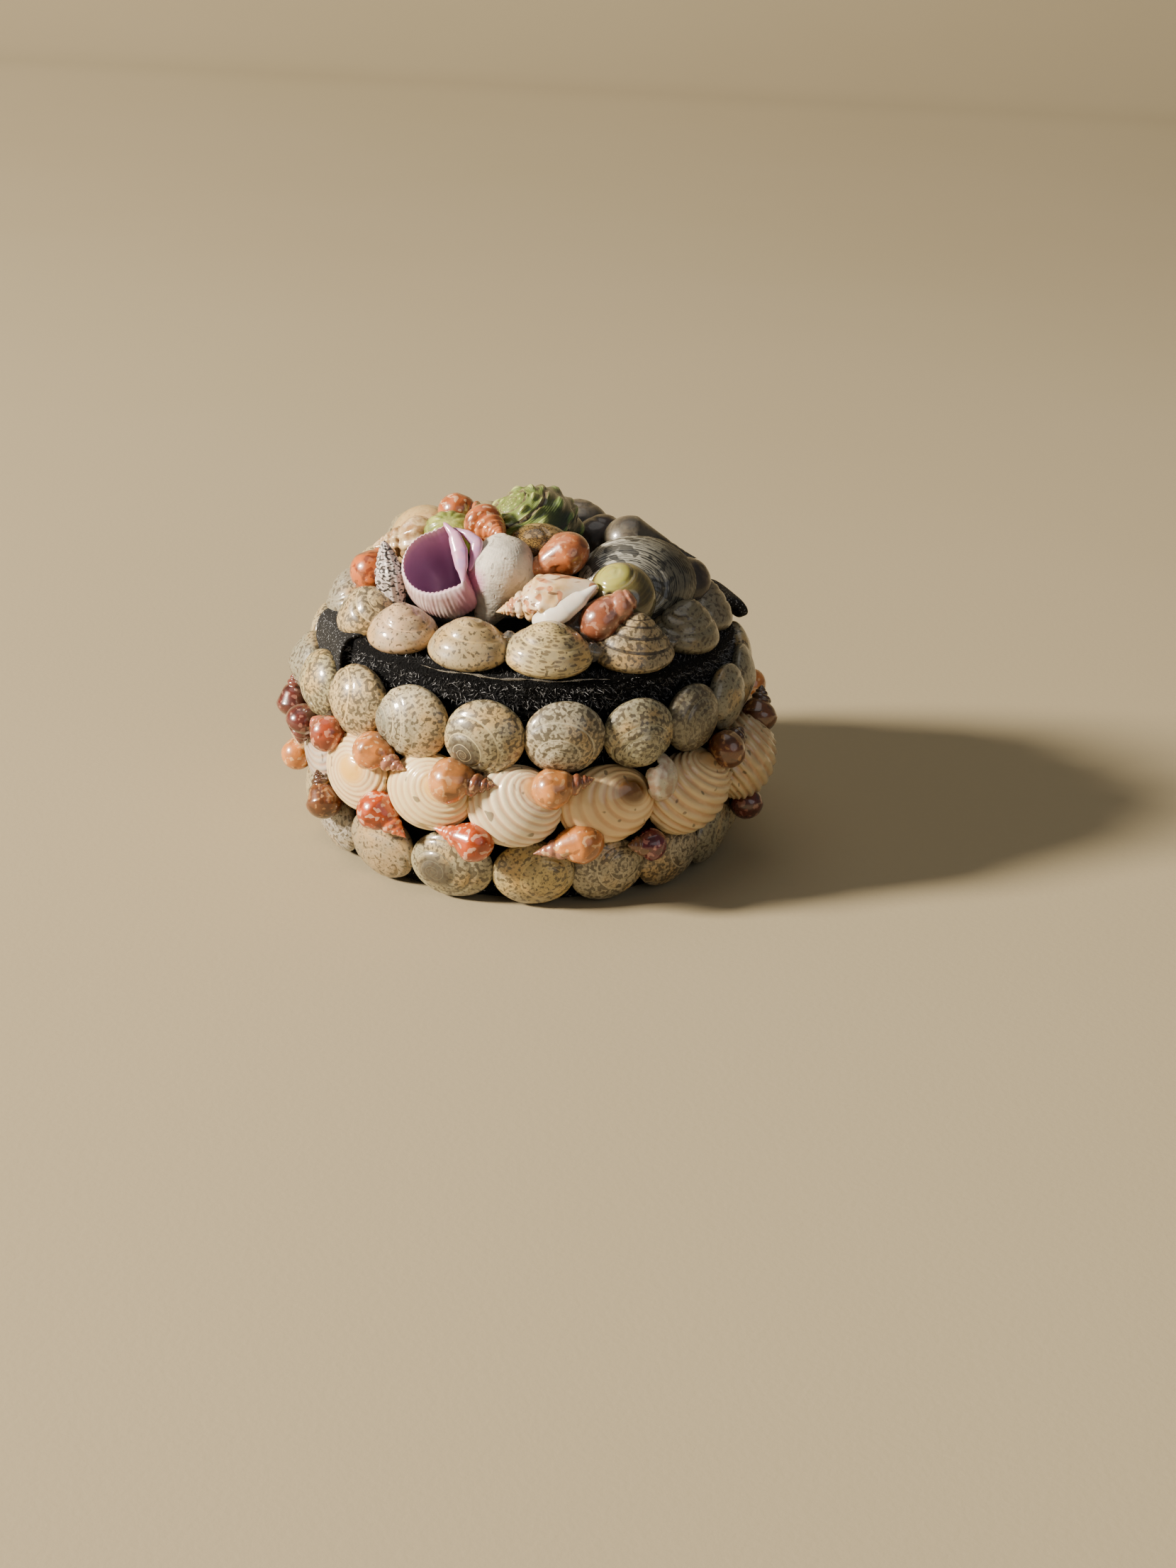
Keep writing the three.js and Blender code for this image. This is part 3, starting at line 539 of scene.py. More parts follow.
def button_shell_material():
    """Varnished cream and grey shell: clouds of yellow and grey, two sizes of grey-brown blots or
    rows of dashes, a darker or paler cap, and a thin seam in the shell's own colour."""
    look = ShellLook("speckled_button_shell", (0.7, 0.1), (0.05, 0.001), specular_ior_level=0.5)
    coil = look.coil(look.fact("growth", "Fac"))
    amount, tone = look.fact("specks", "Fac"), look.fact("tone")
    clouds = look.noise(330, 4)
    look.clouded(clouds, 0.38, 0.66, look.mixed(0.55, tone, "8f8872"), tone)
    look.over(look.eased(look.noise(150, 2), 0.48, 0.7), "c79a4c", 0.5)
    look.over(look.faded(look.plus(coil["Reach"], look.times(clouds, 0.08)), 0.12, 0.27), look.fact("cap"))
    look.over(look.specks(2300, amount), "5b4f3a", 0.5)
    look.over(look.specks(1450, amount), "443a2b", 0.8)
    rows = look.group(dashes, Turn=coil["Turn"], Across=coil["Across"], Along=17.0, Rows=4.0, Size=0.29)
    look.over(look.times(rows["Mask"], look.fact("dashed", "Fac")), "5b4c38", 0.75)
    edge = look.maths("MINIMUM", coil["Across"], look.minus(1.0, coil["Across"]))
    inked = look.times(look.fact("broad", "Fac"), 0.07)
    line = look.times(look.faded(look.minus(edge, inked), 0.025, 0.06), look.faded(coil["Reach"], 0.33, 0.38))
    look.over(line, look.fact("seam"), 0.8)
    threads = look.maths("SINE", look.times(coil["Across"], 2 * math.pi * 16))
    height = look.plus(look.times(threads, 0.08), look.noise(1300, 3))
    return look.done(look.eased(clouds, -0.9, 2.1), height, 0.14, 0.00012)


button_shell = button_shell_material()
# how far from the middle the shells' backs stand on the foot and on the wall, and their tip upwards
FOOT_BACK, FOOT_TIP = 36.6, -8
WALL_BACK, WALL_TIP = 37.65, 2
PLAIN_BUTTON = dict(apex=(0.2, -0.3, 0.9), spire=0.06, growth=2.0, specks=0.8, tone=tint("b9a67c"),
                    seam=None, cap=None, dashed=0.0, broad=0.0, cone=0.25)


def look_facts(look):
    """The facts the button shell's material reads; without a cap or seam colour of its own a shell
    keeps its tone there, the seam a little paler."""
    cap = look["tone"] if look["cap"] is None else look["cap"]
    seam = 1.22 * np.array(look["tone"]) if look["seam"] is None else look["seam"]
    return dict(tone=look["tone"], specks=look["specks"], seam=seam, cap=cap, dashed=look["dashed"],
                broad=look["broad"])


def button_row(name, node, row, looks, back, tip):
    """A whole row on the wall, the shown shells finer than the hidden ones."""
    heap = Heap()
    rng = np.random.default_rng(len(row))
    for i in range(len(row)):
        look = dict(PLAIN_BUTTON)
        if i < len(looks):
            look.update(looks[i])
        else:
            look["tone"] = np.array(look["tone"]) * rng.uniform(0.8, 1.05)
            look["apex"] = (rng.uniform(-0.5, 0.5), rng.uniform(-0.5, 0.5), 0.85)
        fine = (46, 64) if i < len(looks) else (24, 34)
        wall_shell(heap, row, i, fine, back, tip, button_relief(look["spire"]), look, **look_facts(look))
    heap.make(name, button_shell, "base", [node])


# [azimuth, height, height of the shell, how far it stands out]
bottom_seats = all_seats([
    (209, 6.9, 12.2, 4.2), (230, 7.1, 12.8, 4.4), (252, 7.0, 12.8, 4.8), (273.5, 6.8, 12.6, 4.8),
    (293.5, 6.6, 12.2, 4.4), (313.5, 6.5, 11.8, 4.2), (334, 6.6, 11.8, 4.0)], (10, 6.8, 12.4, 4.2))
DARK_CAP, GREY_CAP = tint("4a4437"), tint("7d7a66")
bottom_looks = [
    dict(apex=(0.1, 0.5, 0.8), specks=1.1, tone=tint("a39b8c")),
    dict(apex=(0.2, -0.5, 0.8), specks=0.7, tone=tint("9d8660")),
    dict(apex=(-0.3, -0.05, 0.95), specks=1.1, tone=tint("a1966f"), spire=0.12, cap=DARK_CAP,
         seam=tint("6d6753")),
    dict(apex=(0.38, 0.1, 0.9), specks=1.0, tone=tint("b39d63"), spire=0.08, growth=1.9),
    dict(apex=(0.3, 0.35, 0.85), specks=1.3, tone=tint("ab9f80"), growth=1.8),
    dict(apex=(0.35, 0.45, 0.8), specks=1.5, tone=tint("a3977c")),
    dict(apex=(0.3, 0.2, 0.9), specks=1.1, tone=tint("8c8468"))]
button_row("bottom_row_dressed", "bottom_row_shells", bottom_seats, bottom_looks, FOOT_BACK, FOOT_TIP)

# ---- Middle row of ribbed nerites ----
# Round cream shells with raised cords that wind round a yellow eye, the largest on the wall.
# Those at the right end with the mouth's edge towards the viewer are scalloped there.


def angle_from(turn, at):
    """The signed angle from one turn to another, never more than half way round."""
    return np.angle(np.exp(1j * (turn - at)))


def nerite_relief(cords, rise, eye=0.05, pinch=None, lip=None):
    """Cords: the cosine of the cords' count times the place across a whorl, raised to round tops,
    with a deeper seam near the apex and a raised eye on it. A pinch at (polar, turn) is a dent. A
    lip at a turn is the mouth's edge: the cords rise into teeth there and the surface drops behind."""
    def relief(p, t, place):
        f, edge = on_whorl(place)
        wave = (0.5 + 0.5 * np.cos(2 * np.pi * cords * f)) ** 0.7
        seam = hump(edge, 0.05) * (1 - smooth(p, 0.75, 1.0))
        tall = rise * smooth(p, 0.28, 0.6)
        out = tall * wave - 0.03 * seam * smooth(p, 0.08, 0.25)
        out = out + eye * hump(p, 0.3) - rise * 0.5
        if pinch:
            out = out - 0.11 * hump(np.hypot((p - pinch[0]) * 1.3, angle_from(t, pinch[1])), 0.2)
        if lip is not None:
            past = angle_from(t, lip)
            out = out + 1.1 * tall * wave * hump(past, 0.14)
            out = out - 0.09 * smooth(past, 0.03, 0.16) * (1 - smooth(past, 1.2, 2.2)) * smooth(p, 0.5, 0.9)
        return out
    return relief


def nerite_material():
    """Varnished cream shell: pale crests, warmer grooves, a yellow to orange eye, rare dark flecks,
    and a little light passing through."""
    look = ShellLook("ribbed_cream_nerite", (0.85, 0.08), (0.12, 0.0015))
    coil = look.coil(look.fact("growth", "Fac"))
    cords = look.times(coil["Across"], look.fact("cords", "Fac"))
    wave = look.maths("COSINE", look.times(cords, 2 * math.pi))
    tone = look.fact("tone")
    look.clouded(wave, -1.0, 0.2, look.mixed(0.5, tone, "b87a4c"), tone)
    clouds = look.noise(150, 3)
    look.over(look.eased(clouds, 0.45, 0.7), "f0d9a6", 0.35)
    along = look.add("ShaderNodeCombineXYZ", {0: look.times(coil["Turn"], 5.0), 1: coil["Across"]})[0]
    growth_lines = look.add("ShaderNodeTexNoise", {"Scale": 9.0, "Detail": 3.0, "Vector": along})["Fac"]
    look.over(look.eased(growth_lines, 0.5, 0.7), "e2b98a", 0.22)
    look.over(look.faded(coil["Reach"], 0.07, 0.17), look.fact("eye"))
    look.over(look.specks(520, -0.15), "4b3f30", 0.7)
    height = look.plus(look.times(growth_lines, 0.6), look.noise(1500, 2))
    return look.done(look.eased(clouds, -0.8, 2.3), height, 0.15, 0.00015)


cream_nerite = nerite_material()
middle_seats = all_seats([
    (202, 18.4, 12.4, 4.4), (224.5, 20.0, 14.2, 6.6), (246.5, 20.3, 13.6, 6.8), (268, 19.7, 14.4, 7.2),
    (291, 19.7, 14.0, 6.8), (316, 18.9, 15.0, 7.6), (343.5, 19.6, 15.4, 9.6)], (9, 19.7, 14.2, 6.6))
EYE_YELLOW = tint("e8b24f")
nerite_looks = [
    dict(apex=(0.1, 0.65, 0.7), tone=tint("b3a79a"), eye=tint("b09a7c"), cords=4),
    dict(apex=(0.2, 0.25, 0.93), tone=tint("e6ca96"), eye=EYE_YELLOW, cords=4),
    dict(apex=(0.42, 0.42, 0.8), tone=tint("ead096"), eye=EYE_YELLOW, cords=4, pinch=(0.12, -0.86, 0.5)),
    dict(apex=(0.5, 0.62, 0.6), tone=tint("efdcb4"), eye=tint("d39a55"), cords=4, rise=0.055),
    dict(apex=(0.38, 0.5, 0.78), tone=tint("e0bf8b"), eye=tint("6b4410"), cords=3, rise=0.035, eye_rise=0.09),
    dict(apex=(0.35, 0.85, 0.4), tone=tint("d2b98d"), eye=tint("b08a58"), cords=4, rise=0.075,
         lip=(0.9, 0.1, 0.3)),
    dict(apex=(0.5, 0.75, 0.4), tone=tint("b7a27c"), eye=tint("94784f"), cords=4, rise=0.07,
         lip=(0.9, 0.1, 0.2))]
nerites = Heap()
for i in range(len(middle_seats)):
    look = dict(apex=(0.25, 0.35, 0.9), tone=tint("d6b684"), eye=EYE_YELLOW, cords=5, rise=0.05, pinch=None,
                lip=None, eye_rise=0.05, growth=3.0, cone=0.0)
    look.update(nerite_looks[i] if i < len(nerite_looks) else {})
    pinch, lip = look["pinch"], look["lip"]
    if lip:
        edge = coil_turned(look["apex"]).T @ unit(lip)
        lip = math.atan2(edge[1], edge[0])
    if pinch:
        down = coil_turned(look["apex"]).T @ unit(pinch)
        pinch = (math.acos(down[2]), math.atan2(down[1], down[0]))
    relief = nerite_relief(look["cords"], look["rise"], look["eye_rise"], pinch, lip)
    wall_shell(nerites, middle_seats, i, (66, 92) if i < len(nerite_looks) else (30, 40), WALL_BACK, WALL_TIP,
               relief, look, tone=look["tone"], eye=look["eye"], cords=look["cords"])
nerites.make("middle_row_dressed", cream_nerite, "base", ["middle_row_nerites"])

# ---- Top row of button shells ----
# The same button shells as in the bottom row, larger and turned every way, so that their spires
# point to the left on the left side and down or to the right further round.
top_seats = all_seats([
    (186, 31.0, 12.0, 6.4), (203.5, 31.5, 12.4, 6.0), (222.5, 32.5, 13.2, 5.9), (241, 32.1, 13.3, 5.8),
    (260, 31.7, 13.1, 5.8), (279.5, 32.3, 12.7, 5.6), (299, 32.1, 12.2, 6.0), (317, 32.3, 12.3, 4.9),
    (334, 33.0, 12.0, 4.4), (351, 33.0, 11.8, 4.2)], (9, 32.6, 12.6, 4.4))
top_looks = [
    dict(apex=(-0.6, 0.1, 0.8), specks=0.9, tone=tint("8d8770"), spire=0.12, cone=0.5),
    dict(apex=(-0.75, -0.15, 0.6), specks=1.3, tone=tint("b3a676"), spire=0.12),
    dict(apex=(-0.6, 0.02, 0.8), specks=1.25, tone=tint("c3a874"), growth=2.2, spire=0.06),
    dict(apex=(-0.72, -0.08, 0.68), specks=0.95, tone=tint("b9aa86"), growth=1.55, spire=0.16, cap=GREY_CAP),
    dict(apex=(-0.42, -0.36, 0.84), specks=1.2, tone=tint("b2a47c"), growth=2.1, spire=0.1, cap=DARK_CAP),
    dict(apex=(-0.15, -0.45, 0.85), specks=1.35, tone=tint("b0a68a"), growth=2.0, spire=0.08),
    dict(apex=(0.0, -0.5, 0.87), specks=1.3, tone=tint("a29a79"), growth=1.5, spire=0.26, cone=0.4),
    # The last three shells are toned darker: their own colour with painted shade, on the side turned from the
    # light.
    dict(apex=(0.15, -0.1, 0.97), specks=1.5, tone=tint("7b735a"), growth=1.6, spire=0.04),
    dict(apex=(0.4, -0.3, 0.85), specks=0.8, tone=tint("7a7662"), growth=2.4),
    dict(apex=(0.8, -0.05, 0.5), specks=0.8, tone=tint("746e58"), growth=2.0, spire=0.14, cone=0.5)]
button_row("top_row_dressed", "top_row_shells", top_seats, top_looks, WALL_BACK, WALL_TIP)

# ---- Small snails over the joints ----
# Little orange, red and brown snails glued into the hollows between the rows. The last whorl is
# round and swollen and the spire runs off to one side in two or three small beads.


def spired_ball(rows, columns, size, growth, swell, seam, taper=0.85, body=0.6, mouth=0.5, extra=None):
    """A snail along +Z with its tip at the top. The distance down from the tip is half of 1 less the
    cosine of the first parameter. The outline rises as a power of it to the widest place, and then
    falls as an ellipse. Each whorl of the spire is swollen by the sine across it, the seam between
    them winds down by the growth each turn, and below the last seam the body swells and stays
    whole. Extra adds relief from (distance, turn, across)."""
    p, t = ball_angles(rows, columns)
    down = 0.5 - 0.5 * np.cos(p)
    place = np.log(down / mouth) / math.log(growth) - t / (2 * np.pi) + 2
    f = on_whorl(place)[0]
    across = np.where(place < 1, f, np.minimum(0.5, (place - 1) * 0.9))
    beads = np.sin(np.pi * across) ** seam
    low = np.clip((down - body) / (1 - body), 0, 1)
    outline = np.where(down < body, (down / body) ** taper, np.sqrt(np.clip(1 - low ** 2, 0, 1)))
    radius = 0.5 * outline * (1 - swell * (1 - beads) * smooth(down, 0.01, 0.05))
    if extra is not None:
        radius = radius * (1 + extra(down, t, f))
    rings = np.stack([radius * np.cos(t), radius * np.sin(t), 0.5 - down], axis=-1)
    points = capped([0, 0, 0.5], rings, [0, 0, -0.5]) * np.asarray(size, float)
    coil = np.stack([np.cos(t) * down, np.sin(t) * down, place * 0.1], axis=-1)
    return points, capped([0, 0, 0], coil, [0, 0, 0.3]), closed_grid_faces(rows, columns)


def snail_material(name, flesh, spire, fleck, flecks, marble):
    """Varnished snail: its body colour clouded and marbled with a darker tone of its own, its spire
    another colour, and flecks scattered over both."""
    look = ShellLook(name, (1.0, 0.06), (0.1, 0.001))
    whorl = look.axes(look.fact("coil"))[2]
    clouds = look.noise(420, 4)
    darker, darkest = (tuple(share * c for c in tint(flesh)) for share in (0.6, 0.3))
    body = look.mixed(look.eased(clouds, 0.35, 0.68), flesh, darker)
    look.clouded(look.plus(whorl, look.times(clouds, 0.01)), 0.095, 0.115, spire, body)
    look.over(look.specks(620, marble), darkest, 0.6)
    look.over(look.specks(1050, flecks), fleck, 0.6)
    return look.done(look.eased(clouds, -0.7, 2.6), look.noise(1500, 3), 0.16, 0.00015)


peach_snail = snail_material("peach_snail", "d0803c", "9c6650", "ecc08a", 0.6, 0.5)
amber_snail = snail_material("amber_snail", "cd8544", "7d4a30", "e3b27c", 0.5, 0.5)
orange_snail = snail_material("orange_red_snail", "bd4a10", "c4602c", "efc2a4", 0.9, 0.4)
rust_snail = snail_material("rust_snail", "9d4424", "a8583c", "e0a182", 0.8, 0.7)
wine_snail = snail_material("wine_brown_snail", "5f2a22", "6b3a30", "a56f5e", 0.5, 0.8)
brown_snail = snail_material("brown_snail", "70401f", "4a3020", "b0814e", 0.5, 0.7)
plum_snail = snail_material("plum_snail", "6b2430", "6e4a2f", "c98e84", 0.6, 0.8)


SNAIL_FORM = dict(growth=1.8, swell=0.3, seam=0.7, taper=0.75, body=0.62)
NO_CHANGE = {}


def seated_snail(name, azimuth, radius, z, long, wide, tip, material, slot, fine=(52, 54), shape=NO_CHANGE):
    """A snail lying on the wall with its tip pointing the given way: 0 right, 90 up, 180 left."""
    a, t = math.radians(azimuth), math.radians(tip)
    axis = np.array([-math.sin(a) * math.cos(t), math.cos(a) * math.cos(t), math.sin(t)])
    points, coil, faces = spired_ball(*fine, (wide, wide, long), **{**SNAIL_FORM, **shape})
    points = stood(points, [radius * math.cos(a), radius * math.sin(a), z], axis)
    make_piece(name + "_dressed", to_box(points), faces, material, "base", [name], {"coil": coil})


POINTED = dict(growth=1.6, swell=0.2, seam=0.8, taper=0.95, body=0.64, mouth=0.46)
BEADED = dict(growth=1.75, swell=0.42, seam=0.6, taper=0.8, body=0.68, mouth=0.5)
ORANGE_SLOT, BROWN_SLOT = "orange_shell", "brown_shell"
# [name, azimuth, height, length, width, where the tip points, material, slot, changes to the form]
upper_snails = [
    ("upper_snail_01", 187, 25.4, 8.6, 6.8, 100, wine_snail, BROWN_SLOT, BEADED),
    ("upper_snail_02", 201, 23.0, 8.6, 6.4, 250, wine_snail, BROWN_SLOT, BEADED),
    ("upper_snail_03", 214.5, 26.0, 9.0, 6.8, 170, rust_snail, ORANGE_SLOT, NO_CHANGE),
    ("upper_snail_04", 235, 25.9, 10.8, 7.0, -12, peach_snail, ORANGE_SLOT, BEADED),
    ("upper_snail_05", 256, 24.4, 11.8, 8.2, 2, amber_snail, ORANGE_SLOT, BEADED),
    ("upper_snail_06", 279, 24.8, 11.0, 7.2, 14, amber_snail, ORANGE_SLOT, BEADED),
    ("upper_snail_08", 327, 26.4, 9.4, 7.2, 25, brown_snail, BROWN_SLOT, NO_CHANGE),
    ("upper_snail_09", 350, 27.4, 9.0, 7.0, 60, brown_snail, ORANGE_SLOT, NO_CHANGE)]
lower_snails = [
    ("lower_snail_01", 213, 13.3, 9.0, 6.8, 120, brown_snail, ORANGE_SLOT, NO_CHANGE),
    ("lower_snail_02", 236, 14.6, 10.8, 7.6, -28, orange_snail, ORANGE_SLOT, POINTED),
    ("lower_snail_03", 256.5, 14.0, 11.0, 7.2, 168, orange_snail, ORANGE_SLOT, POINTED),
    ("lower_snail_04", 281, 13.6, 12.6, 7.4, 192, peach_snail, ORANGE_SLOT, POINTED),
    ("lower_snail_05", 300.5, 12.2, 7.6, 5.8, 172, plum_snail, BROWN_SLOT, NO_CHANGE),
    ("lower_snail_06", 345, 11.6, 8.8, 6.4, 60, wine_snail, BROWN_SLOT, NO_CHANGE)]
UPPER_RADIUS, LOWER_RADIUS = 43.0, 42.6
for radius, snails in ((UPPER_RADIUS, upper_snails), (LOWER_RADIUS, lower_snails)):
    for name, azimuth, *measures, shape in snails:
        seated_snail(name, azimuth, radius, *measures, shape=shape)
hidden_looks = [peach_snail, rust_snail, brown_snail, orange_snail, wine_snail]
for kind, first, start, end, count, *place in (("upper", 10, 350, 547, 7, UPPER_RADIUS, 26, 9, 6.4),
                                               ("lower", 7, 345, 573, 6, LOWER_RADIUS, 12.6, 8.8, 6.2)):
    for k in range(count):
        azimuth = start + (end - start) / (count + 1) * (k + 1)
        seated_snail(f"{kind}_snail_{first + k:02d}", azimuth, *place, (k * 67) % 180, hidden_looks[k % 5],
                     ORANGE_SLOT, (24, 24))

# ---- Chipped shell ----
# One small pale shell between the nerites is broken: what is left is a thin, translucent half
# cup with white, ragged edges.
CHIP_AZIMUTH, CHIP_HEIGHT, CHIP_RADIUS, CHIP_SUNK = 303.5, 24.4, 43.0, 0.6
CHIP_HALF = [3.3, 4.2, 2.6]


def chipped_cup(rows, columns):
    """A thin half ball, its outer wall and its inner wall joined over a ragged edge: the polar angle
    runs out along the outside to the edge, which rises and falls with the turn, and back inside."""
    u = np.linspace(-1, 1, rows + 2)[1:-1][:, None]
    t = (np.arange(columns) / columns * 2 * np.pi)[None, :]
    edge = 1.5 + 0.28 * np.sin(2 * t + 0.5) + 0.16 * np.sin(5 * t) + 0.1 * np.sign(np.sin(7 * t + 1))
    polar = edge * (1 - np.abs(u))
    thick = np.where(u < 0, 1.0, 0.88) + 0.02 * np.sin(9 * polar)
    rings = np.stack([thick * np.sin(polar) * np.cos(t), thick * np.sin(polar) * np.sin(t),
                      thick * np.cos(polar) + 0 * t], axis=-1)
    return capped([0, 0, 1.0], rings, [0, 0, 0.88]), closed_grid_faces(rows, columns)


def chipped_material():
    """Thin clear shell with brownish clouds, some of the light passing straight through."""
    look = Look("chipped_translucent_shell", (0.8, 0.1), (0.3, 0.002), transmission_weight=0.25, ior=1.5)
    clouds = look.noise(500, 4)
    look.clouded(clouds, 0.4, 0.65, "d8cbb4", "b08f76")
    return look.done(look.eased(clouds, -0.6, 2.2), clouds, 0.2, 0.0002)


points, faces = chipped_cup(44, 64)
a = math.radians(CHIP_AZIMUTH)
outwards = np.array([math.cos(a), math.sin(a), 0])
middle = (CHIP_RADIUS - CHIP_SUNK) * outwards + [0, 0, CHIP_HEIGHT]
points = stood(points * CHIP_HALF, middle, outwards + [0.25, 0, 0.25])
make_piece("chipped_shell", to_box(points), faces, chipped_material(), "base", ["upper_snail_07"])

# ---- Lid in black felt ----
# A card disc with a shallow rim, covered in the same felt: a fluffy strip is wrapped round the
# edge, and it shows as a broad black band under the shells.
LID_RADIUS = 37.0
LID_BOTTOM = 36.1
LID_TOP = 41.6
LID_BOARD = 2.0
LID_WALL = 2.2
BAND_HEIGHT, FLUFF_ON_TOP = 5.0, 4.4

lid_inside = LID_RADIUS - LID_WALL
lid_profile = divided(round_profile([
    [0, LID_TOP - LID_BOARD], [lid_inside, LID_TOP - LID_BOARD], [lid_inside, LID_BOTTOM],
    [LID_RADIUS, LID_BOTTOM], [LID_RADIUS, LID_TOP], [0, LID_TOP]], 1.5, 9), 1.4)[::-1]
points, faces = turned_felt(lid_profile, 200)
make_piece("lid_felt", to_box(points), faces, black_felt, "lid", ["lid_board"])


def lid_edge_roots(count, seed):
    """Random points on the lid's band and over its rounded top edge, with the way out at each."""
    rng = np.random.default_rng(seed)
    angle = rng.random(count) * 2 * np.pi
    way = rng.random(count) * (BAND_HEIGHT + FLUFF_ON_TOP)
    height = np.where(way < BAND_HEIGHT, LID_BOTTOM + 0.2 + way, LID_TOP - 0.2)
    radius = LID_RADIUS - np.maximum(way - BAND_HEIGHT, 0) + felt_lumps(angle, height)
    rise = smooth(way, 4.2, 6.0)
    outwards = np.stack([np.cos(angle) * (1 - rise), np.sin(angle) * (1 - rise), rise], axis=-1)
    corner = 0.55 * hump(way - BAND_HEIGHT, 0.8)
    radius, height = radius - corner, height - corner
    return np.column_stack([np.cos(angle) * radius, np.sin(angle) * radius, height]), unit(outwards)


roots, outwards = lid_edge_roots(22000, 11)
# the last number is the share of pale wool ends, painted glints of light on the lid's felt
points, faces, tone = fibre_needles(roots, outwards, 0.85, WOOL_WIDTH, 12, 0.26)
make_piece("lid_felt_fluff", to_box(points), faces, wool_ends, "lid", facts={"tone": tone},
           soft=False)

# ---- Felt hinge ----
# One strip of smooth black felt, glued to the lid's top by one end and down the wall by the other.
# It bends along a crease at the lid's edge.
HINGE_X = -37.6
HINGE_THICK = 0.9
HINGE_HALF = 8.2
CREASE_Z = 40.9
HINGE_FOOT = 25.0


def ringed(line, lift, y):
    """Rings across a line of [x, z] points, lifted along the line's own normal, closed at both ends."""
    way = unit(np.gradient(line, axis=0))
    normal = np.column_stack([-way[:, 1], way[:, 0]])
    rings = np.stack([line[:, :1] + normal[:, :1] * lift, y, line[:, 1:] + normal[:, 1:] * lift], axis=-1)
    points = capped([line[0, 0], 0, line[0, 1]], rings, [line[-1, 0], 0, line[-1, 1]])
    return points, closed_grid_faces(len(line), lift.shape[1])


def squared(columns, across_power, proud_power):
    """Round a section: the cosine and the sine of the angle, each drawn out by its power."""
    a = (np.arange(columns) / columns * 2 * np.pi)[None, :]
    return [np.sign(k) * np.abs(k) ** power for k, power in
            ((np.cos(a), across_power), (np.sin(a), proud_power))]


def strip_along(line, half_width, thick, columns, edge_wave):
    """A flat strip carried along a line of [x, z] points: its section is a rounded rectangle across
    the line's own normal, and its two long edges wave a little along the way."""
    across, proud = squared(columns, 0.18, 0.5)
    s = np.linspace(0, 1, len(line))[:, None]
    ease = np.minimum(1, np.sqrt(np.clip(np.minimum(s, 1 - s) / 0.02, 0.02, 1)))
    y = across * (half_width + edge_wave * np.sin(19 * s + 2) * np.sign(across)) * (0.3 + 0.7 * ease)
    return ringed(line, proud * thick / 2 * ease + 0.06 * np.sin(14 * s + 3 * across), y)


def smooth_felt_material():
    """Pressed felt, nearly smooth, with a grey sheen and a few bright specks of painted glint."""
    look = ShellLook("smooth_black_felt", sheen_weight=0.04, sheen_roughness=0.35, specular_ior_level=0.35)
    nap = look.noise(1900, 5, 0.7)
    look.color = look.mixed(look.times(look.eased(look.noise(130, 3), 0.4, 0.7), nap), "050506", "1a1a1c")
    # bright pale specks laid over the black felt: painted glints of light
    painted_glints = look.specks(3200, 0.1)
    look.over(painted_glints, "a9acb2", 0.6)
    return look.done(look.minus(look.eased(nap, -0.6, 1.0), look.times(painted_glints, 0.45)), nap, 0.5, 0.0003)


smooth_felt = smooth_felt_material()
hinge_mid = HINGE_X - HINGE_THICK / 2
hinge_line = divided(round_profile([
    [-29.0, 42.3], [-35.6, 42.25], [hinge_mid, CREASE_Z - 0.4], [hinge_mid, HINGE_FOOT]], 2.4, 12), 0.4)
points, faces = strip_along(hinge_line, HINGE_HALF, HINGE_THICK * 0.92, 64, 0.12)
hinge = make_piece("felt_hinge", points * 0.001, faces, smooth_felt, None)
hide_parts("hinge_wall_strip", "hinge_lid_strip")
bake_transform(hinge)

# ---- Felt pull tab ----
# A tongue of the same felt, folded double and glued to the lid's top opposite the hinge, with its
# rounded end hanging over the edge.
TAB_HALF = 6.5
tab_line = divided(round_profile([
    [30.6, 42.45], [34.8, 43.1], [37.9, 43.0], [39.8, 41.2], [40.5, 39.0]], 2.0, 9), 0.35)


def tongue(line, half_width, columns):
    """A strip along a line whose width closes in a round end and whose thickness swells at the fold."""
    s = np.linspace(0, 1, len(line))[:, None]
    across, proud = squared(columns, 0.3, 0.6)
    round_end = np.sqrt(np.clip(1 - np.clip((s - 0.82) / 0.18, 0, 1) ** 2.4, 0.004, 1))
    start_end = np.sqrt(np.clip(s / 0.03, 0.02, 1))
    thick = (0.45 + 0.85 * smooth(s, 0.25, 0.8)) * np.sqrt(round_end) * start_end
    y = across * half_width * (0.25 + 0.75 * round_end) * (0.6 + 0.4 * start_end)
    return ringed(line, proud * thick + 0.08 * np.sin(9 * s + 2 * across), y)


points, faces = tongue(tab_line, TAB_HALF, 72)
tab = make_piece("felt_pull_tab", points * 0.001, faces, smooth_felt, "lid", ["lid_pull_tab"])

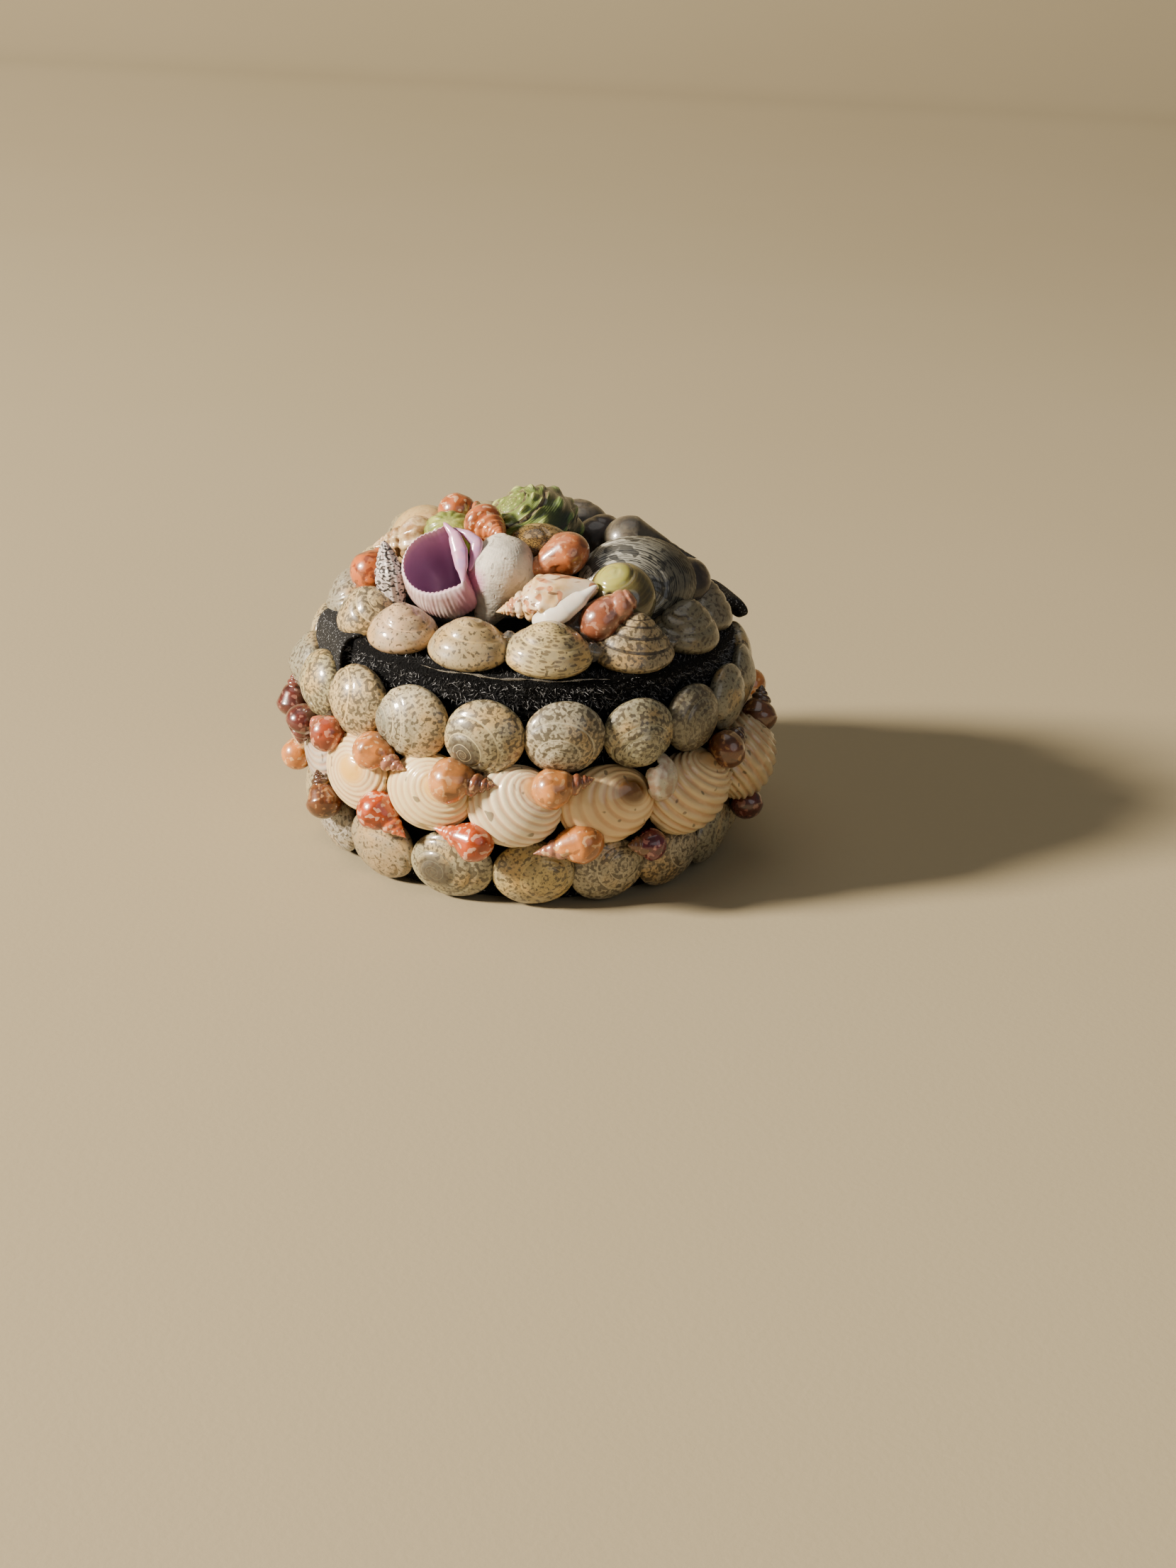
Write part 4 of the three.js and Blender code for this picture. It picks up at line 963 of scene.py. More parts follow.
# ---- Button shells round the lid's edge ----
# Larger button shells lie on the lid's edge with their spires up, leaning out a little.
rim_seats = all_seats([
    (184, 43.0, 11.5, 5.4), (206, 43.4, 11.8, 5.6), (226, 44.0, 12.0, 5.0), (251.5, 44.2, 12.6, 5.2),
    (276.5, 44.2, 13.2, 5.6), (305.5, 43.7, 12.6, 6.2), (332, 43.8, 12.4, 5.6), (356, 43.8, 12.0, 5.2)],
    (6, 43.9, 11.6, 4.4))
BLACK_SEAM = tint("1d1512")
rim_looks = [
    dict(specks=0.8, tone=tint("8d8570"), apex=(-0.1, -0.3, 0.9)),
    dict(specks=1.4, tone=tint("bba478"), apex=(0.5, 0.3, 0.8), cone=0.35),
    dict(specks=0.35, tone=tint("c4a27c"), apex=(0.15, 0.0, 0.98), growth=2.4, spire=0.05),
    dict(specks=0.55, tone=tint("b39867"), apex=(0.0, 0.1, 0.98), growth=2.2, spire=0.03),
    dict(specks=0.3, tone=tint("c2ab74"), apex=(0.0, 0.1, 0.98), spire=0.05, dashed=1.0),
    dict(specks=1.1, tone=tint("a58f68"), apex=(0.02, 0.1, 0.98), spire=0.14, growth=1.6,
         seam=BLACK_SEAM, broad=1.0, cone=0.8),
    # The last two shells are toned darker: their own colour with painted shade, on the side turned from the
    # light.
    dict(specks=0.9, tone=tint("736b53"), apex=(-0.2, 0.1, 0.95), spire=0.1, growth=1.8),
    dict(specks=0.8, tone=tint("6f6550"), apex=(0.1, 0.1, 0.95), spire=0.1, growth=1.9)]
# the circle the rim shells lie on and its shift in x, their lean, their foot and what is under it
RIM_CIRCLE, RIM_SHIFT, RIM_LEAN, RIM_FOOT, RIM_SUNK = 31.3, -0.4, math.radians(12), 0.4, 2.9
rim = Heap()
for i, (azimuth, z, deep, dome) in enumerate(rim_seats):
    look = dict(PLAIN_BUTTON, apex=(0.1, 0.1, 0.95), spire=0.1, cone=0.55)
    look.update(rim_looks[i] if i < len(rim_looks) else {})
    a, tall = math.radians(azimuth), dome + RIM_FOOT
    axis = [math.cos(a) * math.sin(RIM_LEAN), math.sin(a) * math.sin(RIM_LEAN), math.cos(RIM_LEAN)]
    wide = 2 * RIM_CIRCLE * math.sin(half_way(rim_seats, i)) * 1.05
    rows, columns = (48, 70) if i < len(rim_looks) else (26, 38)
    points, coil = coiled_ball(rows, columns, (wide / 2, deep / 2, tall), look["apex"],
                               button_relief(look["spire"]), look["growth"], look["cone"])
    points[:, 2] *= np.where(points[:, 2] > 0, 1.0, RIM_SUNK / tall)
    points = stood(points, [RIM_SHIFT + RIM_CIRCLE * math.cos(a), RIM_CIRCLE * math.sin(a), z], axis)
    rim.put(points, closed_grid_faces(rows, columns), coil=coil, growth=look["growth"], **look_facts(look))
rim.make("rim_shells_dressed", button_shell, "lid", ["lid_rim_shells"])

# ---- Open violet shell ----
# A shell lying on its side with its mouth to the front: deep violet inside, a pinkish white,
# finely ribbed outside with a notched edge, a pink fold down the right side of the mouth, and
# the round white body behind it.
MOUTH_WAY = unit([-0.25, -0.85, 0.45])
MOUTH_MIDDLE = np.array([-16.2, -12.1, 52.0])
MOUTH_SIDE = unit(np.cross([0, 0, 1], MOUTH_WAY))
MOUTH_UP = np.cross(MOUTH_WAY, MOUTH_SIDE)
RIM_FORWARD = 4.9
MOUTH_LIFT = 0.9
MOUTH_ROUND = 5.6
CHORD_TURN, CHORD_REACH = math.radians(24), 4.3
# how far back and how far down the bowl goes, outside and inside
BOWL_DEPTHS, BOWL_SINKS = (11.6, 10.2), (4.2, 3.0)


def mouth_radius(turn):
    """The mouth's outline: a circle drawn out to a peak at the top and to a corner at lower right,
    and cut off straight between them, where the fold runs."""
    peak, corner = ((size * hump(angle_from(turn, math.radians(at)), width))
                    for at, width, size in ((82, 0.26, 1.2), (-26, 0.3, 0.9)))
    chord = CHORD_REACH / np.maximum(np.cos(turn - CHORD_TURN), 0.3)
    return ((MOUTH_ROUND + corner + peak) ** -16.0 + chord ** -16.0) ** (-1 / 16)


def open_bowl(rows, columns):
    """The bowl about the mouth's axis: the first parameter runs from the back of the outside to the
    edge and back down the inside, the second goes round. Behind the edge the bowl sinks, so that
    its outside bellies out below the mouth."""
    u = np.linspace(0, 1, rows + 2)[1:-1][:, None]
    t = (np.arange(columns) / columns * 2 * np.pi)[None, :]
    out = u < 0.56
    k = np.where(out, 1 - np.clip(u / 0.56, 0, 1), np.clip((u - 0.56) / 0.44, 0, 1))
    edge = mouth_radius(t) + 0.09 * np.sin(46 * t) * np.exp(-k * 9)
    low = np.where(out, 0.16, 0.1) * (0.5 - 0.5 * np.sin(t))
    corner = np.where(out, 0.3, 0.0) * hump(angle_from(t, math.radians(-52)), 0.62)
    belly = 1 + (low + corner) * np.sin(np.pi * np.minimum(1, 1.5 * k))
    wall = np.where(out, 0.4, -0.12) * np.minimum(1, k * 14 + 0.25)
    ribs = np.where(out, 0.07, 0.0) * np.sin(64 * t) * np.minimum(1, 6 * k) * smooth(1 - k, 0.1, 0.5)
    radius = (edge * belly + wall + ribs) * np.sqrt(np.clip(1 - k ** 2.6, 0, 1))
    forward = RIM_FORWARD - 0.9 * np.sin(t) * np.exp(-k * 2) - np.where(out, *BOWL_DEPTHS) * k
    sink = np.where(out, *BOWL_SINKS) * k ** 0.9
    place = (MOUTH_MIDDLE + forward[..., None] * MOUTH_WAY
             + (radius * np.cos(t) + 0.16 * sink)[..., None] * MOUTH_SIDE
             + (radius * np.sin(t) + MOUTH_LIFT - sink)[..., None] * MOUTH_UP)
    back, deep = (MOUTH_MIDDLE + (RIM_FORWARD - far) * MOUTH_WAY + 0.16 * drop * MOUTH_SIDE
                  + (MOUTH_LIFT - drop) * MOUTH_UP for far, drop in zip(BOWL_DEPTHS, BOWL_SINKS))
    facts = np.stack([np.where(out, 0.0, 1.0) + 0 * t, k + 0 * t, (np.cos(t) * 0.5 + 0.5) + 0 * k], axis=-1)
    facts = capped([0, 1, 0.5], facts, [1, 1, 0.5])
    return capped(back, place, deep), facts, closed_grid_faces(rows, columns)


def violet_bowl_material():
    """Glossy violet inside, pinker near the edge; dull pinkish white outside with fine ribs."""
    look = ShellLook("violet_open_shell", (0.35, 0.2), (0.1, 0.001))
    inner, depth, right = look.axes(look.fact("mouth"))
    streaks = look.noise(260, 4, place=look.stretched((1, 5, 1), (0.4, 0.5, 0.8)))
    look.clouded(depth, 0.05, 0.75, "bb8fae", "8d6688")
    look.over(look.eased(streaks, 0.4, 0.7), "96708f", 0.35)
    look.over(look.faded(depth, 0.0, 0.22), "ddb4c0", 0.8)
    violet = look.color
    look.clouded(look.noise(300, 4), 0.35, 0.7, "dcc3ba", "b48d8a")
    look.over(look.eased(right, 0.7, 0.95), "c9789c", 0.7)
    look.over(look.eased(look.minus(1.0, depth), 0.93, 1.0), "e8cfd2")
    look.clouded(inner, 0.4, 0.6, look.color, violet)
    return look.done(look.minus(0.62, look.times(inner, 0.28)), streaks, 0.25, 0.0003)


points, facts, faces = open_bowl(90, 220)
make_piece("violet_shell_mouth", to_box(points), faces, violet_bowl_material(), "lid",
           ["lid_open_violet_shell"], {"mouth": facts})
BLUSH_MIDDLE = MOUTH_MIDDLE + 6.2 * MOUTH_SIDE - 1.4 * MOUTH_UP + 3.0 * MOUTH_WAY


def chalky_material():
    """Worn white shell: soft clouds, fine growth lines and small pits, with hardly any gloss, and
    a pink blush where it meets the mouth."""
    look = ShellLook("chalky_white_shell", (0.15, 0.4), (0.08, 0.001))
    clouds = look.noise(190, 4)
    lines = look.noise(420, 3, place=look.stretched((1, 1, 7)))
    look.clouded(clouds, 0.35, 0.7, "d9d0bf", "a59d90")
    look.over(look.eased(look.noise(90, 2), 0.5, 0.75), "d8c4a0", 0.5)
    pits = look.specks(900, 0.12)
    look.over(pits, "8d8579", 0.5)
    middle = tuple(to_box(BLUSH_MIDDLE))
    blush = look.add("ShaderNodeVectorMath", {0: look.place, 1: middle}, operation="DISTANCE")["Value"]
    look.over(look.faded(look.plus(blush, look.times(clouds, 0.002)), 0.0022, 0.0052), "c77ba6")
    height = look.minus(look.plus(lines, look.noise(1600, 4)), pits)
    return look.done(look.eased(clouds, -1.2, 1.6), height, 0.45, 0.0003)


def chalk_relief(p, t, place):
    """Faint ribs along the body, and slow swellings."""
    return (0.004 * np.sin(58 * t) * smooth(p, 0.2, 0.9) * (1 - smooth(p, 1.6, 2.2))
            + 0.05 * np.sin(2 * t + 0.6) * np.sin(p) + 0.02 * np.sin(5 * p + t))


def centred_shell(node, name, shape, middle, axis, material):
    """Stands a finished shape (points, coil, faces) about its middle and makes the piece."""
    points, coil, faces = shape
    points = to_box(stood(points, middle, axis))
    return make_piece(name + "_dressed", points, faces, material, "lid", [node], {"coil": coil})


def ball_shape(rows, columns, size, apex, relief, growth):
    points, coil = coiled_ball(rows, columns, np.asarray(size) / 2, apex, relief, growth)
    return points, coil, closed_grid_faces(rows, columns)


BODY_EDGE = 5.6
points, coil, faces = ball_shape(76, 150, (11.6, 12.4, 17.0), (0.1, 0.1, 0.95), chalk_relief, 2.5)
points[:, :2] *= 0.56 + 0.46 * smooth(points[:, 2:], -8.5, 3.0)
points = stood(points, [-6.2, -13.8, 51.3], [0.24, 0.2, 0.95])
over = BODY_EDGE - (points - MOUTH_MIDDLE) @ MOUTH_SIDE
points = points + np.maximum(over, 0)[:, None] * MOUTH_SIDE
make_piece("violet_shell_body", to_box(points), faces, chalky_material(), "lid", ())


def tapered_fold(path, half_width, half_thick, columns):
    """An oval section carried along a smooth path; it shrinks to a point at both ends."""
    path = np.asarray(path, float)
    s = np.linspace(0, 1, 70)
    knots = np.linspace(0, 1, len(path))
    weights = np.array([hump(s - k, 0.72 / len(path)) for k in knots]).T
    line = (weights / weights.sum(1, keepdims=True)) @ path
    line = line + (1 - s[:, None]) ** 12 * (path[0] - line[0]) + s[:, None] ** 12 * (path[-1] - line[-1])
    way = unit(np.gradient(line, axis=0))
    side = unit(np.cross(way, MOUTH_WAY))
    up = np.cross(side, way)
    a = (np.arange(columns) / columns * 2 * np.pi)[None, :]
    close = np.clip(np.sin(np.pi * np.clip(s, 0.004, 0.996)), 0, 1)[:, None] ** 0.5
    wide, thick = (np.interp(s, np.linspace(0, 1, len(half)), half)[:, None] * close
                   for half in (half_width, half_thick))
    rings = (line[:, None] + (wide * np.cos(a))[..., None] * side[:, None]
             + (thick * np.sin(a))[..., None] * up[:, None])
    points = capped(line[0] - way[0] * 0.02, rings, line[-1] + way[-1] * 0.02)
    return points, closed_grid_faces(len(s), columns)


def mouth_point(right, up, forward):
    return MOUTH_MIDDLE + right * MOUTH_SIDE + (up + MOUTH_LIFT) * MOUTH_UP + forward * MOUTH_WAY


def fold_material():
    """Glossy pink and lilac porcelain-like shell with a pale ridge."""
    look = Look("pink_lilac_fold", (0.9, 0.08), (0.2, 0.001))
    clouds = look.noise(280, 3)
    look.clouded(clouds, 0.35, 0.65, "c886b4", "d9a0bd")
    look.over(look.eased(look.noise(420, 2), 0.5, 0.7), "a78fc4", 0.6)
    return look.done(look.eased(clouds, -0.8, 2.6), clouds, 0.15, 0.0003)


# [places to the right, up and forward of the mouth's middle, half widths, half thicknesses]
fold_paths = (
    ([(0.2, 7.2, 4.2), (2.6, 5.2, 4.6), (4.2, 2.4, 4.8), (5.2, -0.6, 4.9), (5.9, -3.0, 4.9)],
     [0.7, 1.2, 1.5, 1.2, 0.7], [0.6, 0.8, 0.9, 0.7, 0.5]),
    ([(1.6, 6.6, 3.2), (4.4, 5.9, 3.4), (6.6, 4.6, 3.4), (6.7, 2.2, 3.6), (6.3, -0.6, 4.0)],
     [0.6, 0.9, 1.1, 1.2, 0.7], [0.7, 0.9, 0.9, 0.7, 0.5]))
folds = Heap()
for places, wide, thick in fold_paths:
    folds.put(*tapered_fold([mouth_point(*place) for place in places], wide, thick, 36))
folds.make("violet_shell_fold", fold_material(), "lid", ())

# ---- Small conch ----
# A white conch lies across the front of the heap with its spire to the left. It has stepped,
# knobbed whorls, orange-brown dashes, and a thick glossy white lip along its front.


def conch_knobs(down, t, f):
    """Shoulder knobs along the upper part of each whorl, and a canal drawn out at the far end."""
    knobs = 0.09 * np.cos(9 * t) * hump(f - 0.3, 0.22) * (1 - smooth(down, 0.5, 0.75))
    return knobs - 0.28 * smooth(down, 0.55, 0.95) + 0.03 * np.sin(t + 1)


def conch_material():
    """Varnished white shell, cream on the spire, with orange blots and thin brown dashes."""
    look = ShellLook("dashed_white_conch", (0.95, 0.07), (0.12, 0.0012))
    clouds = look.noise(240, 3)
    look.clouded(look.axes(look.fact("coil"))[2], 0.3, 0.55, "e3b878", "ece0cd")
    look.over(look.eased(clouds, 0.4, 0.65), "f6ecdc", 0.5)
    look.over(look.specks(480, 0.95), "bd6418", 0.75)
    look.over(look.specks(860, 0.7, look.stretched((0.35, 1.6, 1.6), (0, 0.3, 0.4))), "6b4632", 0.8)
    return look.done(look.eased(clouds, -0.7, 2.6), look.noise(900, 3), 0.14, 0.0002)


conch_form = spired_ball(110, 84, (9.4, 8.6, 18.4), growth=1.42, swell=0.3, seam=0.55, taper=0.95, body=0.44,
                         mouth=0.38, extra=conch_knobs)
centred_shell("lid_small_conch", "conch", conch_form, [2.6, -22.4, 51.2], [-0.95, 0.02, -0.3],
              conch_material())


def porcelain_material():
    """Glossy white shell, clouded with a warm grey."""
    look = Look("glossy_white_lip", (0.9, 0.07), (0.2, 0.0015))
    clouds = look.noise(160, 3)
    look.clouded(clouds, 0.35, 0.7, "f3ede2", "ddd0bd")
    return look.done(look.eased(clouds, -0.8, 2.4), look.noise(700, 3), 0.12, 0.0002)


lip_path = [[11.0, -24.4, 54.8], [8.6, -25.8, 53.0], [5.6, -26.6, 51.0], [2.6, -26.8, 49.3],
            [0.2, -26.0, 48.2]]
points, faces = tapered_fold(lip_path, [0.8, 1.5, 2.1, 2.5, 2.2], [0.8, 1.1, 1.3, 1.3, 1.0], 44)
make_piece("conch_lip", to_box(points), faces, porcelain_material(), "lid", ())

# ---- Round shells on the heap ----
# Nerites and moon shells of several kinds, glued on the board and on each other. All are coiled
# balls with their own relief, and each kind has its own colours.


def plain_coil_relief(bulge, groove):
    """A swollen spire over a smooth last whorl, with one groove between them."""
    def relief(p, t, place):
        near = (1 - smooth(p, 0.85, 1.15)) * smooth(p, 0.06, 0.2)
        return bulge * hump(p, 0.42) - groove * near * hump(on_whorl(place)[1], 0.09)
    return relief


def moon_material():
    """Glossy olive shell, bright yellow-green at its apex, with faint darker growth bands."""
    look = ShellLook("olive_moon_shell", (1.0, 0.05), (0.15, 0.0015))
    coil = look.coil(3.0)
    clouds = look.noise(260, 4)
    look.clouded(clouds, 0.35, 0.65, "665c36", "453c24")
    bands = look.maths("SINE", look.times(coil["Across"], 40.0))
    look.over(look.eased(bands, 0.2, 1.0), "776d40", 0.3)
    look.over(look.faded(coil["Reach"], 0.12, 0.22), "a8a452")
    return look.done(look.eased(clouds, -0.6, 3.2), clouds, 0.1)


moon_form = ball_shape(56, 80, (12.0, 12.6, 10.4), (-0.42, 0.5, 0.76), plain_coil_relief(0.07, 0.04), 3.0)
centred_shell("lid_moon_shell", "moon_shell", moon_form, [15.6, -19.4, 51.2], [0.1, -0.8, 0.58],
              moon_material())


def net_material():
    """Glossy olive-brown shell under a fine dark net, with blots of yellowish tan."""
    look = ShellLook("netted_shell", (1.0, 0.05))
    cells = look.add("ShaderNodeTexVoronoi", {"Vector": look.stretched((1, 1.4, 2.2)), "Scale": 1500},
                     feature="DISTANCE_TO_EDGE")[0]
    clouds = look.noise(260, 3)
    look.clouded(clouds, 0.35, 0.65, "8a6d3a", "5d4828")
    look.over(look.faded(cells, 0.02, 0.14), "2c2318")
    look.over(look.specks(520, 0.9), "c0a06a", 0.4)
    return look.done(look.eased(clouds, -0.6, 3.2), clouds, 0.1)


net_form = ball_shape(48, 72, (12.6, 9.8, 9.8), (-0.5, -0.5, 0.7), plain_coil_relief(0.05, 0.03), 2.4)
centred_shell("lid_netted_shell", "netted_shell", net_form, [0.9, -5.0, 54.8], [0, -0.4, 0.92],
              net_material())


def ribbed_grey_material():
    """White shell flamed with black along its ribs, pale on the left as painted light and dark grey towards
    the right as painted shade.
    """
    look = ShellLook("ribbed_grey_nerite", (0.6, 0.14))
    coil = look.coil(3.0)
    along = look.add("ShaderNodeCombineXYZ", {0: look.times(coil["Turn"], 7.0),
                                              1: look.times(coil["Across"], 9.0)})[0]
    patches = look.noise(75, 3)
    wave = look.maths("COSINE", look.times(coil["Across"], 2 * math.pi * 16))
    lit_to_shaded = look.axes(look.place)[0]
    look.clouded(patches, 0.35, 0.68, "827e6d", "36352f")
    # dark towards the right and pale towards the left across the piece: painted shade and painted light
    look.over(look.eased(lit_to_shaded, 0.012, 0.026), "2c2b27", 0.75)
    look.over(look.faded(lit_to_shaded, 0.007, 0.019), "cbc7b8", 0.8)
    look.over(look.specks(480, 0.9), "1c1b18", 0.85)
    flames = look.eased(look.noise(1.7, 4, place=along), 0.47, 0.53)
    look.over(look.times(flames, look.eased(wave, -0.9, 0.4)), "0f0f0d", 0.95)
    look.over(look.faded(wave, -1.0, -0.4), "4c4a42", 0.45)
    return look.done(look.eased(patches, -0.7, 2.0), look.plus(wave, look.noise(1200, 3)), 0.16)


ribbed_form = ball_shape(112, 160, (22.4, 17.4, 14.2), (-0.45, -0.5, 0.7),
                         nerite_relief(16, 0.02, eye=0.02), 3.0)
centred_shell("lid_ribbed_shell", "ribbed_nerite", ribbed_form, [18.6, -9.0, 50.8], [0.3, -0.6, 0.74],
              ribbed_grey_material())
KNOB_ROWS, KNOBS = 2, 8
TURBAN_GROWTH = 2.3


def knobs_at(t, f):
    """Rows of knobs: the cosine across the whorl times the cosine round it, staggered by row."""
    return (0.5 + 0.5 * np.cos(2 * np.pi * KNOB_ROWS * f)) * (0.5 + 0.5 * np.cos(KNOBS * t + 3 * f))


def turban_relief(p, t, place):
    """Big knobs in rows, thin threads between them, and a strong seam."""
    f, edge = on_whorl(place)
    seam = hump(edge, 0.07) * (1 - smooth(p, 1.1, 1.5))
    return ((0.1 * knobs_at(t, f) + 0.004 * np.sin(2 * np.pi * 12 * f)) * smooth(p, 0.15, 0.5)
            - 0.06 * seam * smooth(p, 0.1, 0.3) - 0.02)


def turban_material():
    """Green turban: pale yellow-green on the beads, dark green between, and paler towards the upper
    left as painted light, darker to the lower right as painted shade; with thin dark threads and a purplish
    brown seam."""
    look = ShellLook("green_turban", (0.8, 0.1))
    coil = look.coil(TURBAN_GROWTH)
    x, y, z = look.axes(look.place)
    # paler towards the upper left and darker to the lower right: painted light and painted shade
    painted_light_side = look.eased(look.minus(look.times(z, 0.5), x), 0.024, 0.036)
    look.clouded(look.fact("bead", "Fac"), 0.35, 0.75, look.mixed(painted_light_side, "1b2a12", "7c8c3c"),
                 look.mixed(painted_light_side, "5f7d3c", "c6cb74"))
    threads = look.maths("SINE", look.times(coil["Across"], 90.0))
    look.over(look.eased(threads, 0.4, 1.0), "28331f", 0.4)
    edge = look.maths("MINIMUM", coil["Across"], look.minus(1.0, coil["Across"]))
    look.over(look.times(look.faded(edge, 0.04, 0.12), look.faded(coil["Reach"], 0.36, 0.46)), "5b4238", 0.8)
    clouds = look.noise(350, 4)
    return look.done(look.eased(clouds, -0.8, 2.0), look.plus(clouds, look.times(threads, 0.2)), 0.3, 0.0003)


def bead_heights(coil, growth):
    """How far up a bead each point is, from 0 to 1, from its direction in the coil."""
    p = np.arccos(np.clip(coil[:, 2], -1, 1))
    t = np.arctan2(coil[:, 1], coil[:, 0]) % (2 * np.pi)
    place = np.log(np.tan(np.clip(p, 0.01, 3.13) / 2)) / math.log(growth) - t / (2 * np.pi)
    return knobs_at(t, on_whorl(place)[0])


turban_form = ball_shape(110, 160, (22.0, 17.2, 18.8), (-0.5, 0.45, 0.75), turban_relief, TURBAN_GROWTH)
turban = centred_shell("lid_green_turban", "green_turban", turban_form, [-0.6, 4.8, 54.2], [0.2, -0.1, 0.97],
                       turban_material())
beads = turban.data.attributes.new("bead", "FLOAT", "POINT")
beads.data.foreach_set("value", bead_heights(turban_form[1], TURBAN_GROWTH).astype(np.float32))


def axial_ribs(count, rise):
    """Rounded ribs that run from apex to base, over faint whorls."""
    def relief(p, t, place):
        return rise * (0.5 + 0.5 * np.cos(count * t)) ** 0.7 * smooth(p, 0.15, 0.6)
    return relief


def two_tone_material(name, light, dark, scale):
    """Varnished shell clouded with two tones and dusted with darker specks."""
    look = ShellLook(name, (0.7, 0.1), (0.06, 0.001))
    clouds = look.noise(scale, 4)
    look.clouded(clouds, 0.35, 0.65, light, dark)
    look.over(look.specks(1500, 0.8), tuple(0.4 * c for c in tint(dark)), 0.3)
    return look.done(look.eased(clouds, -0.7, 2.0), look.noise(900, 3), 0.2, 0.0003)


pale_green = two_tone_material("pale_green_shell", "b5ba5c", "6f7a2e", 330)
warm_cream = two_tone_material("warm_cream_shell", "dcc08c", "c3a064", 90)
dark_brown = two_tone_material("dark_brown_shell", "54443a", "2e2620", 220)
grey_brown = two_tone_material("grey_brown_shell", "5e5648", "38332c", 260)
green_form = ball_shape(48, 70, (9.6, 8.8, 8.6), (0.1, -0.3, 0.9), axial_ribs(11, 0.06), 2.2)
centred_shell("lid_pale_green_shell", "pale_green", green_form, [-15.4, 1.6, 54.8], [-0.1, -0.3, 0.95],
              pale_green)
dome_form = ball_shape(44, 64, (15, 13, 12.4), (0.4, 0.3, 0.8), plain_coil_relief(0.03, 0.02), 2.6)
centred_shell("lid_cream_shell", "cream_dome", dome_form, [-20.4, 13, 50.6], [-0.2, 0, 0.97],
              warm_cream)
for name, size, bulge, middle, axis, look in (
        ("brown_shell_01", (11.6, 10, 11), 0.06, [12.2, 12.6, 51.2], [0.1, -0.2, 0.97], dark_brown),
        ("brown_shell_02", (13.2, 12.4, 13.4), 0.05, [8.2, 20.6, 50.4], [0.2, 0.3, 0.93], grey_brown),
        ("brown_shell_03", (10, 9.6, 8.2), 0.05, [28, -2.4, 49.2], [0.75, -0.3, 0.6], dark_brown)):
    form = ball_shape(40, 60, size, (0.2, 0.3, 0.9), plain_coil_relief(bulge, 0.03), 2.4)
    centred_shell("lid_" + name, name, form, middle, axis, look)

# ---- Spired shells on the heap ----
# Five orange snails, a grey spindle flecked with black, a tan shell with fat ribs, and a
# grey-brown shell with a sharp point, all lying on their sides.


def heap_snail(node, middle, axis, size, material, slot=ORANGE_SLOT, **form):
    shape = spired_ball(60, 66, size, **{**SNAIL_FORM, **form})
    centred_shell(node, node, shape, middle, axis, material)


mottled_snail = snail_material("mottled_orange_snail", "c8682f", "b85c28", "5c1608", 1.0, 1.0)
blush_snail = snail_material("blush_orange_snail", "b9622f", "bf6e3c", "eec39a", 0.55, 0.8)
salmon_snail = snail_material("salmon_snail", "b5683c", "bd7c58", "cf9468", 0.6, 0.5)
fawn_snail = snail_material("fawn_brown_snail", "8f5338", "9a6248", "b88a72", 0.5, 0.5)
heap_snail("lid_snail_04", [-28.2, -5.6, 50.2], [0.55, 0.6, 0.5], (8.2, 8.2, 10.0), mottled_snail, swell=0.1,
           taper=0.5, body=0.6)
heap_snail("lid_snail_03", [-8.4, -5.5, 58.8], [0.55, -0.8, -0.1], (7.6, 7.4, 9.4), blush_snail, growth=1.5,
           swell=0.22, taper=0.55, body=0.64, mouth=0.6)
heap_snail("lid_snail_02", [3.8, -13, 55.8], [-0.85, -0.2, -0.4], (8.2, 7.8, 12.6), salmon_snail, swell=0.16,
           taper=0.8, mouth=0.42)
heap_snail("lid_snail_01", [13.1, -25.5, 49.9], [0.72, 0.1, 0.62], (7.6, 7.4, 11.2), fawn_snail, swell=0.16,
           taper=0.3, body=0.6, growth=3.4, mouth=0.66)
heap_snail("lid_snail_05", [-13.2, 8, 57.8], [0.95, -0.1, 0.1], (6.8, 6.6, 9.8), blush_snail, swell=0.4,
           taper=0.7)
heap_snail("lid_pointed_shell", [21.2, 4.4, 53.6], [0.94, 0.05, -0.2], (9.6, 9.8, 18), grey_brown, BROWN_SLOT,
           growth=1.45, swell=0.1, taper=1.15, body=0.7, mouth=0.4)
heap_snail("lid_banded_shell", [-23.4, 3.8, 52.6], [-0.95, 0, -0.2], (8.4, 8.6, 12.6),
           two_tone_material("banded_tan_shell", "d9bc8c", "9b7244", 420), "warm_cream_shell", growth=1.5,
           swell=0.26, seam=0.6, taper=0.7, body=0.66, mouth=0.6,
           extra=lambda down, t, f: 0.07 * np.cos(9 * t))


def spindle_relief(down, t, f):
    """Fine ribs on the spire, a body drawn in towards its far end, and rings round that end."""
    return (0.04 * np.cos(12 * t) * (1 - smooth(down, 0.6, 0.8)) - 0.3 * smooth(down, 0.45, 1.0)
            + 0.03 * np.sin(60 * down) * smooth(down, 0.7, 0.8))


def spindle_material():
    """Grey and pinkish white shell with rows of short black commas along its whorls."""
    look = ShellLook("black_flecked_spindle", (0.3, 0.25))
    clouds = look.noise(300, 4)
    look.clouded(clouds, 0.35, 0.65, "cdc3bd", "b39d99")
    look.over(look.specks(1700, 1.2, look.stretched((0.8, 0.8, 1.5), (0.3, 0.2, 0.0))), "2b2523")
    return look.done(look.eased(clouds, -1.0, 1.6), clouds, 0.3, 0.0003)


spindle_form = spired_ball(84, 76, (5.0, 5.6, 15.0), growth=1.35, swell=0.12, seam=0.8, taper=0.62, body=0.4,
                           mouth=0.42, extra=spindle_relief)
centred_shell("lid_spotted_spindle", "spindle", spindle_form, [-24.9, -13.6, 50.2], [-0.2, 0.12, 0.97],
              spindle_material())

